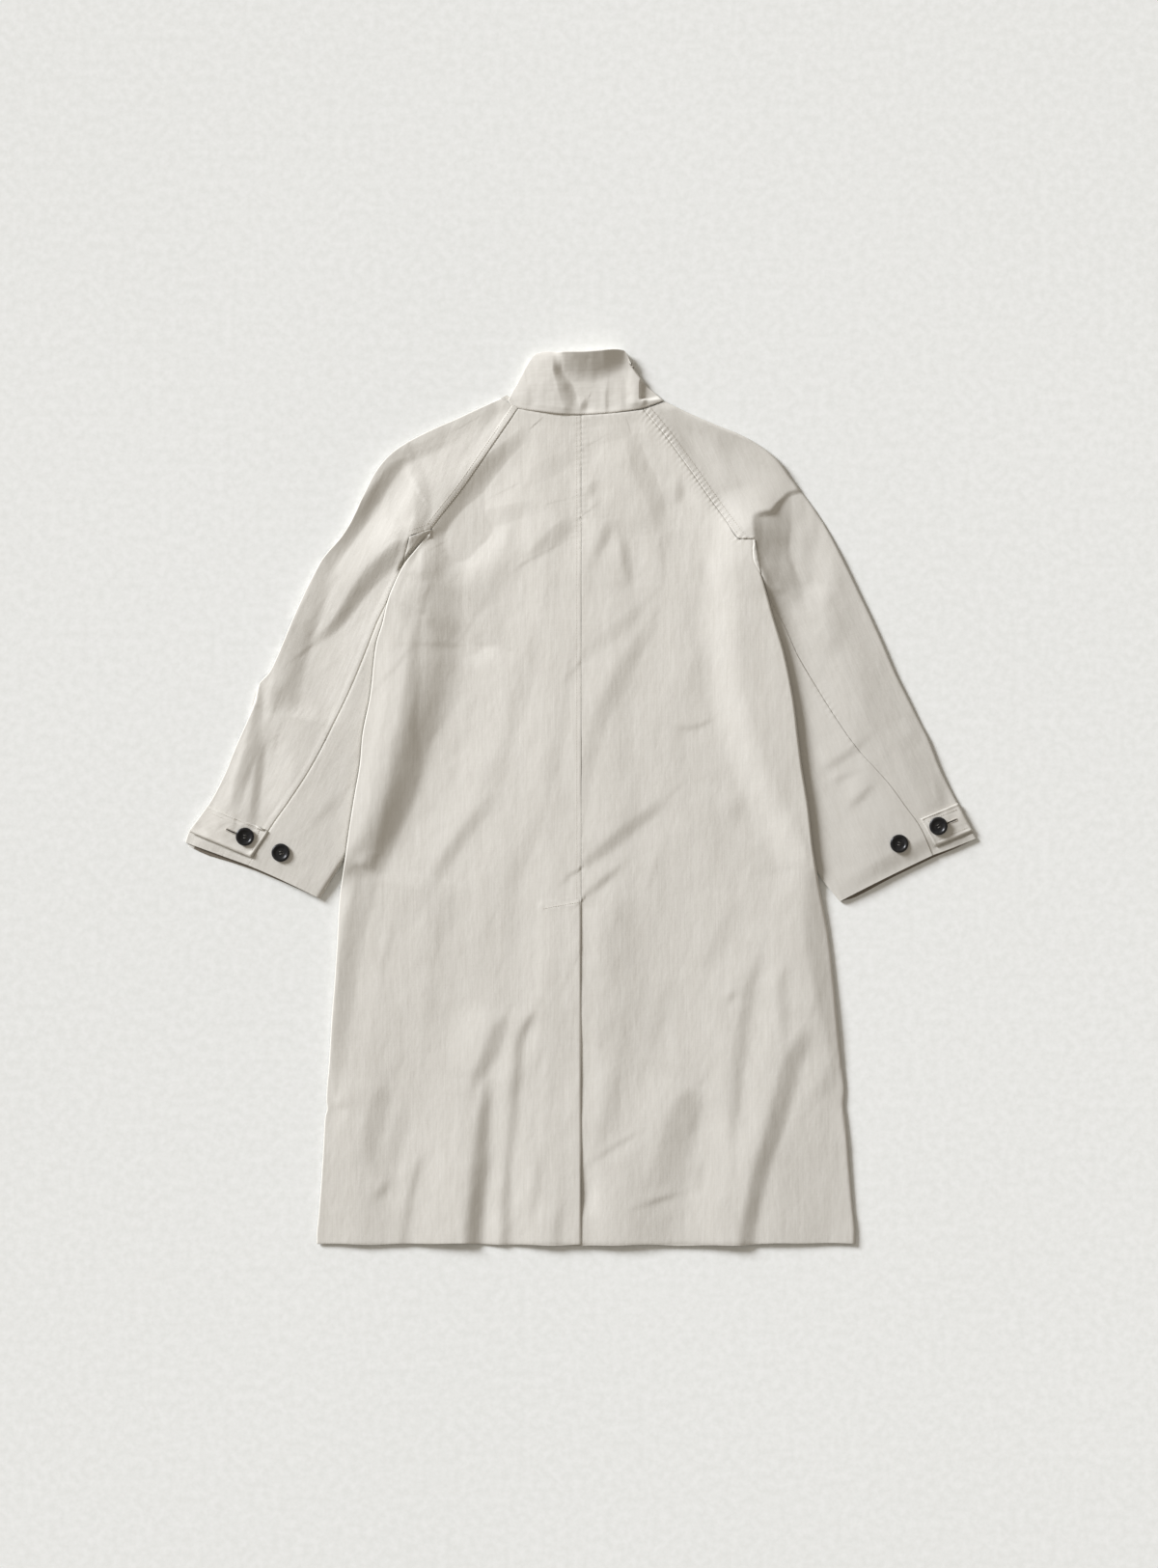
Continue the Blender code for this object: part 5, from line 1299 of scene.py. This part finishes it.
# ---------------------------------------------------------------- stitching
def stitch_line(path, height, length, gap, seed, radius=0.24, sink=0.05, skew=0.0):
    """Stitches along a path: short rods that dive into the cloth at each end."""
    s = np.concatenate([[0], np.cumsum(np.hypot(np.diff(path[:, 0]), np.diff(path[:, 1])))])
    rng = np.random.RandomState(seed)
    starts = np.arange(length * 0.5, s[-1] - length * 0.5, length + gap)
    verts, faces = [], []
    if not len(starts):
        return verts, faces
    mids = starts + rng.uniform(-0.12, 0.12, len(starts))
    def at(q):
        return np.stack([np.interp(q, s, path[:, 0]), np.interp(q, s, path[:, 1])], -1)
    knots = [(-0.5, -0.28), (-0.36, 0.06), (0.0, 0.16), (0.36, 0.06), (0.5, -0.28)]
    places = [at(mids + k * length) for k, _ in knots]
    tangent = at(mids + 0.3) - at(mids - 0.3)
    tangent /= np.linalg.norm(tangent, axis=1)[:, None]
    normal = np.stack([-tangent[:, 1], tangent[:, 0]], -1)
    wander = rng.uniform(-0.1, 0.1, len(starts))
    for k, p in enumerate(places):
        p += normal * (wander + skew * knots[k][0])[:, None]
    heights = [height(p[:, 0], p[:, 1]) + knots[k][1] - sink for k, p in enumerate(places)]
    rings = 4
    for n in range(len(starts)):
        base = len(verts)
        for k, p in enumerate(places):
            r = radius * (0.6 if k in (0, len(places) - 1) else 1.0)
            for c, z in ((1, 0), (0, 1), (-1, 0), (0, -1)):
                verts.append((p[n, 0] + normal[n, 0] * r * c, p[n, 1] + normal[n, 1] * r * c, heights[k][n] + r * 0.8 * z))
        for k in range(len(places) - 1):
            for i in range(rings):
                j = (i + 1) % rings
                a, b = base + k * rings, base + (k + 1) * rings
                faces.append((a + i, b + i, b + j, a + j))
        faces.append(tuple(base + i for i in range(rings)))
        last = base + (len(places) - 1) * rings
        faces.append(tuple(last + rings - 1 - i for i in range(rings)))
    return verts, faces


def offset_path(path, distance):
    tx, ty = np.gradient(path[:, 0]), np.gradient(path[:, 1])
    n = np.hypot(tx, ty)
    return np.stack([path[:, 0] - ty / n * distance, path[:, 1] + tx / n * distance], -1)


def stitches(name, lines):
    verts, faces = [], []
    for v, f in lines:
        base = len(verts)
        verts += v
        faces += [tuple(base + i for i in face) for face in f]
    mesh = bpy.data.meshes.new(name)
    mesh.from_pydata([(x * MM, y * MM, z * MM) for x, y, z in verts], [], faces)
    mesh.polygons.foreach_set("use_smooth", np.ones(len(mesh.polygons), bool))
    mesh.materials.append(MAT["thread"])
    obj = bpy.data.objects.new(name, mesh)
    bpy.context.scene.collection.objects.link(obj)
    return ride(obj)


def make_stitching():
    left, right = lambda x, y: sleeve_top(x, y, -1), lambda x, y: sleeve_top(x, y, 1)
    body_l, body_r = lambda x, y: back_top(x, y, -1), lambda x, y: back_top(x, y, 1)
    rl, rr = P["raglan_left"], P["raglan_right"]
    tl, tr = P["turn_left"], P["turn_right"]
    stitches("stitching_sleeves", [
        stitch_line(offset_path(rl, -1.8), left, 2.6, 0.7, 1),
        stitch_line(offset_path(rl, -8.2), left, 2.6, 0.7, 2),
        stitch_line(offset_path(rr, 1.8), right, 2.6, 0.7, 3),
        stitch_line(offset_path(rr, 8.2), right, 2.6, 0.7, 4),
        stitch_line(offset_path(tl, -1.8), left, 2.6, 0.7, 5),
        stitch_line(offset_path(tl, -7.4), left, 2.6, 0.7, 6),
        stitch_line(offset_path(tr, 1.8), right, 2.6, 0.7, 7),
        stitch_line(offset_path(P["under_left"][60:], 1.6), left, 2.7, 0.7, 8),
        stitch_line(offset_path(P["under_right"][60:], -1.6), right, 2.7, 0.7, 9),
    ])
    vent_face = np.stack([np.full(300, (558 - CENTRE[0]) * UNIT), np.linspace(Y_VENT - 9, -588, 300)], -1)
    centre = P["centre"]
    stitches("stitching_back", [
        stitch_line(centre + np.array([-6.4, 0]), body_l, 2.7, 0.7, 11),
        stitch_line(P["bar"], body_l, 2.6, 0.6, 12),
        stitch_line(offset_path(P["bar"], -2.6), body_l, 2.6, 0.6, 13),
    ])
    foot = P["foot"]
    stitches("stitching_collar", [
        stitch_line(offset_path(foot, 1.7), collar_top, 2.5, 0.7, 15),
    ])
    for name, side in (("left", -1), ("right", 1)):
        rows = flat(STRAPS[name]["rows"])
        inner = flat([r[2:] for r in STRAPS[name]["rows"]])
        a, d = rows[0, :2], rows[-1, :2]
        b, c = inner[0], inner[-1]
        tip = inner[1:-1]
        centre_of = (a + b + c + d) / 4
        lines = []
        for inset in (2.0, 7.0):
            lines.append(inset_line(a, b, centre_of, inset))
            lines.append(inset_line(d, c, centre_of, inset))
        lines.append(inset_line(b, c, centre_of, 2.0))
        fn = lambda x, y, s=side: strap_top(x, y, s)
        stitches(f"stitching_strap_{name}", [stitch_line(l, fn, 2.4, 0.6, 20 + i) for i, l in enumerate(lines)])


def inset_line(a, b, middle, inset):
    """A straight line from a to b moved towards middle, short of its ends."""
    t = (b - a) / np.linalg.norm(b - a)
    n = np.array([-t[1], t[0]])
    if (middle - a) @ n < 0:
        n = -n
    a, b = a + n * inset + t * inset * 0.8, b + n * inset - t * inset * 0.8
    return a + (b - a) * np.linspace(0, 1, 60)[:, None]


def make_buttonhole(name, ends, side):
    """A worked slit: thread bars round a narrow dark opening."""
    a, b = flat(ends)
    t = (b - a) / np.linalg.norm(b - a)
    n = np.array([-t[1], t[0]])
    length = float(np.linalg.norm(b - a))
    height = lambda x, y: float(strap_top(np.array([x]), np.array([y]), side)[0])
    objs = []
    rng = random.Random(name)
    count = int(length / 0.55)
    for k in range(count + 1):
        for s in (-1, 1):
            p = a + t * (length * k / count)
            p0 = p + n * s * 0.8
            p1 = p + n * s * (2.1 + rng.uniform(-0.15, 0.15))
            z0, z1 = height(*p0), height(*p1)
            m = (p0 + p1) / 2
            objs.append(object_of("b", rod([(p0[0] * MM, p0[1] * MM, (z0 + 0.2) * MM), (m[0] * MM, m[1] * MM, (height(*m) + 0.58) * MM), (p1[0] * MM, p1[1] * MM, (z1 + 0.15) * MM)], 0.00026, 5), MAT["thread"]))
    for end in (a - t * 0.6, b + t * 0.6):
        pts = [(end[0] + n[0] * w, end[1] + n[1] * w) for w in (-2.0, -0.7, 0.7, 2.0)]
        objs.append(object_of("b", rod([(px * MM, py * MM, (height(px, py) + 0.2) * MM) for px, py in pts], 0.0004, 5), MAT["thread"]))
    bm = bmesh.new()
    steps = 8
    low, top = [], []
    for k in range(steps + 1):
        p = a + t * (length * k / steps)
        w = 0.78 * math.sin(math.pi * min(max(k / steps, 0.06), 0.94)) ** 0.35
        z = height(*p)
        for s in (-1, 1):
            q = p + n * s * w
            top.append(bm.verts.new((q[0] * MM, q[1] * MM, (z + 0.5) * MM)))
            low.append(bm.verts.new((q[0] * MM, q[1] * MM, (z - 0.25) * MM)))
    for k in range(steps):
        i = 2 * k
        bm.faces.new((top[i], top[i + 2], top[i + 3], top[i + 1]))
        bm.faces.new((low[i], low[i + 1], low[i + 3], low[i + 2]))
        bm.faces.new((top[i], low[i], low[i + 2], top[i + 2]))
        bm.faces.new((top[i + 1], top[i + 3], low[i + 3], low[i + 1]))
    bm.faces.new((top[0], top[1], low[1], low[0]))
    e = 2 * steps
    bm.faces.new((top[e], low[e], low[e + 1], top[e + 1]))
    bmesh.ops.recalc_face_normals(bm, faces=bm.faces)
    objs.append(object_of("slit", bm, MAT["slit"], False))
    joined(f"buttonhole_{name}", objs)


# ---------------------------------------------------------------- build
make_collar()
back_l = make_back_left()
back_r = make_back_right()
sleeves = {}
for s, n in ((-1, "left"), (1, "right")):
    sleeves[n + "_back"] = make_sleeve_back(s)
    lower = make_sleeve_front(s)
    upper = make_upper_front(s)
    sleeves[n + "_front"] = joined(f"sleeve_{n}_front_cloth_all", [lower, upper], [f"sleeve_{n}_front"])
    make_front(s)
    make_strap(s)
make_stitching()
for n, s in (("left", -1), ("right", 1)):
    spec = STRAPS[n]
    bx, by = flat([spec["button"]])[0]
    z = float(strap_top(np.array([bx]), np.array([by]), s)[0]) + 0.7
    make_button(f"button_{n}_strap_disc", f"button_{n}_strap", spec["button"], z, 0.3 * s + 0.2, (0.03, -0.04 * s, 0))
    bx, by = flat([spec["sleeve_button"]])[0]
    z = float(sleeve_top(np.array([bx]), np.array([by]), s)[0]) + 0.7
    make_button(f"button_{n}_sleeve_disc", f"button_{n}_sleeve", spec["sleeve_button"], z, -0.2 * s, (-0.03, 0.05 * s, 0))
    make_buttonhole(n, spec["hole"], s)


# ---------------------------------------------------------------- sheets
def cut_of(name):
    """Area of one face of a piece's cloth, and the sides of its box, metres."""
    graph = bpy.context.evaluated_depsgraph_get()
    obj = PIECES[name].evaluated_get(graph)
    mesh = obj.to_mesh()
    area = sum(p.area for p in mesh.polygons) / 2
    c = np.array([v.co[:] for v in mesh.vertices])
    obj.to_mesh_clear()
    return area, np.ptp(c[:, :2], axis=0)


SHEETS = {  # piece: flat width, flat length, area share, what it lies on
    "back_left_cloth": (0.355, 1.11, 0.83, ["front_left_cloth", "sleeve_left_front_cloth_all"]),
    "back_right_cloth": (0.42, 1.11, 0.78, ["front_right_cloth", "sleeve_right_front_cloth_all"]),
    "front_left_cloth": (0.38, 1.10, 0.83, []),
    "front_right_cloth": (0.39, 1.10, 0.83, ["front_left_cloth"]),
    "sleeve_left_back_cloth": (0.19, 0.72, 0.75, ["sleeve_left_front_cloth_all"]),
    "sleeve_right_back_cloth": (0.19, 0.72, 0.75, ["sleeve_right_front_cloth_all"]),
    "sleeve_left_front_cloth_all": (0.34, 0.72, 0.8, []),
    "sleeve_right_front_cloth_all": (0.34, 0.72, 0.8, []),
    "collar_cloth": (0.47, 0.095, 0.8, []),
    "strap_left_cloth": (0.092, 0.041, 0.95, ["sleeve_left_back_cloth"]),
    "strap_right_cloth": (0.06, 0.04, 0.95, ["sleeve_right_back_cloth"]),
}
for name, (w, l, share, on) in SHEETS.items():
    area, _ = cut_of(name)
    print("SHEET", name, round(area, 5), "box", round(w * l, 5))
for name in ("sleeve_right_back_cloth", "sleeve_right_front_cloth_all", "strap_left_cloth", "strap_right_cloth"):
    PIECES[name].data.set_sharp_from_angle(angle=math.radians(48))

# ---------------------------------------------------------------- stage
bpy.ops.mesh.primitive_plane_add(size=9, location=(0, 0, 0))
floor = bpy.context.object
floor.name = "floor"
mat = bpy.data.materials.new("pale_ground")
tree, shader = nodes_of(mat)
coord = tree.nodes.new("ShaderNodeTexCoord").outputs["Object"]
a = noise_node(tree, coord, 95.0, 3.0, 0.6)
b = noise_node(tree, coord, 1.6, 2.0, 0.5)
ramp = tree.nodes.new("ShaderNodeValToRGB")
ramp.color_ramp.elements[0].position = 0.36
ramp.color_ramp.elements[0].color = (0.808, 0.818, 0.790, 1)
ramp.color_ramp.elements[1].position = 0.64
ramp.color_ramp.elements[1].color = (0.872, 0.880, 0.858, 1)
link(tree, math_node(tree, "ADD", math_node(tree, "MULTIPLY", a, 0.85), math_node(tree, "MULTIPLY", b, 0.15)), ramp.inputs["Fac"])
link(tree, ramp.outputs["Color"], shader.inputs["Base Color"])
shader.inputs["Roughness"].default_value = 0.95
shader.inputs["Specular IOR Level"].default_value = 0.1
floor.data.materials.append(mat)

cam_data = bpy.data.cameras.new("camera")
cam_data.type = "PERSP"
cam_data.sensor_width = 36.0
cam_data.lens = 36.0 * 6.0 / (1625 * UNIT * MM)
cam_data.clip_end = 50
cam = bpy.data.objects.new("camera", cam_data)
cam.location = ((600 - CENTRE[0]) * UNIT * MM, (CENTRE[1] - 812.5) * UNIT * MM, 6.0)
bpy.context.scene.collection.objects.link(cam)
bpy.context.scene.camera = cam

ELEVATION = math.radians(22)
sun = bpy.data.lights.new("key", "SUN")
sun.energy = 5.10
sun.angle = math.radians(20)
sun.color = (0.978, 1.0, 1.055)
key = bpy.data.objects.new("key", sun)
way = Vector((LIGHT[0] * math.cos(ELEVATION), LIGHT[1] * math.cos(ELEVATION), -math.sin(ELEVATION)))
key.rotation_euler = way.to_track_quat("-Z", "Y").to_euler()
bpy.context.scene.collection.objects.link(key)
world = bpy.data.worlds.new("studio")
world.use_nodes = True
background = world.node_tree.nodes["Background"]
background.inputs["Color"].default_value = (1.0, 0.918, 0.81, 1)
background.inputs["Strength"].default_value = 0.36
bpy.context.scene.world = world
bpy.context.scene.view_settings.view_transform = "Standard"
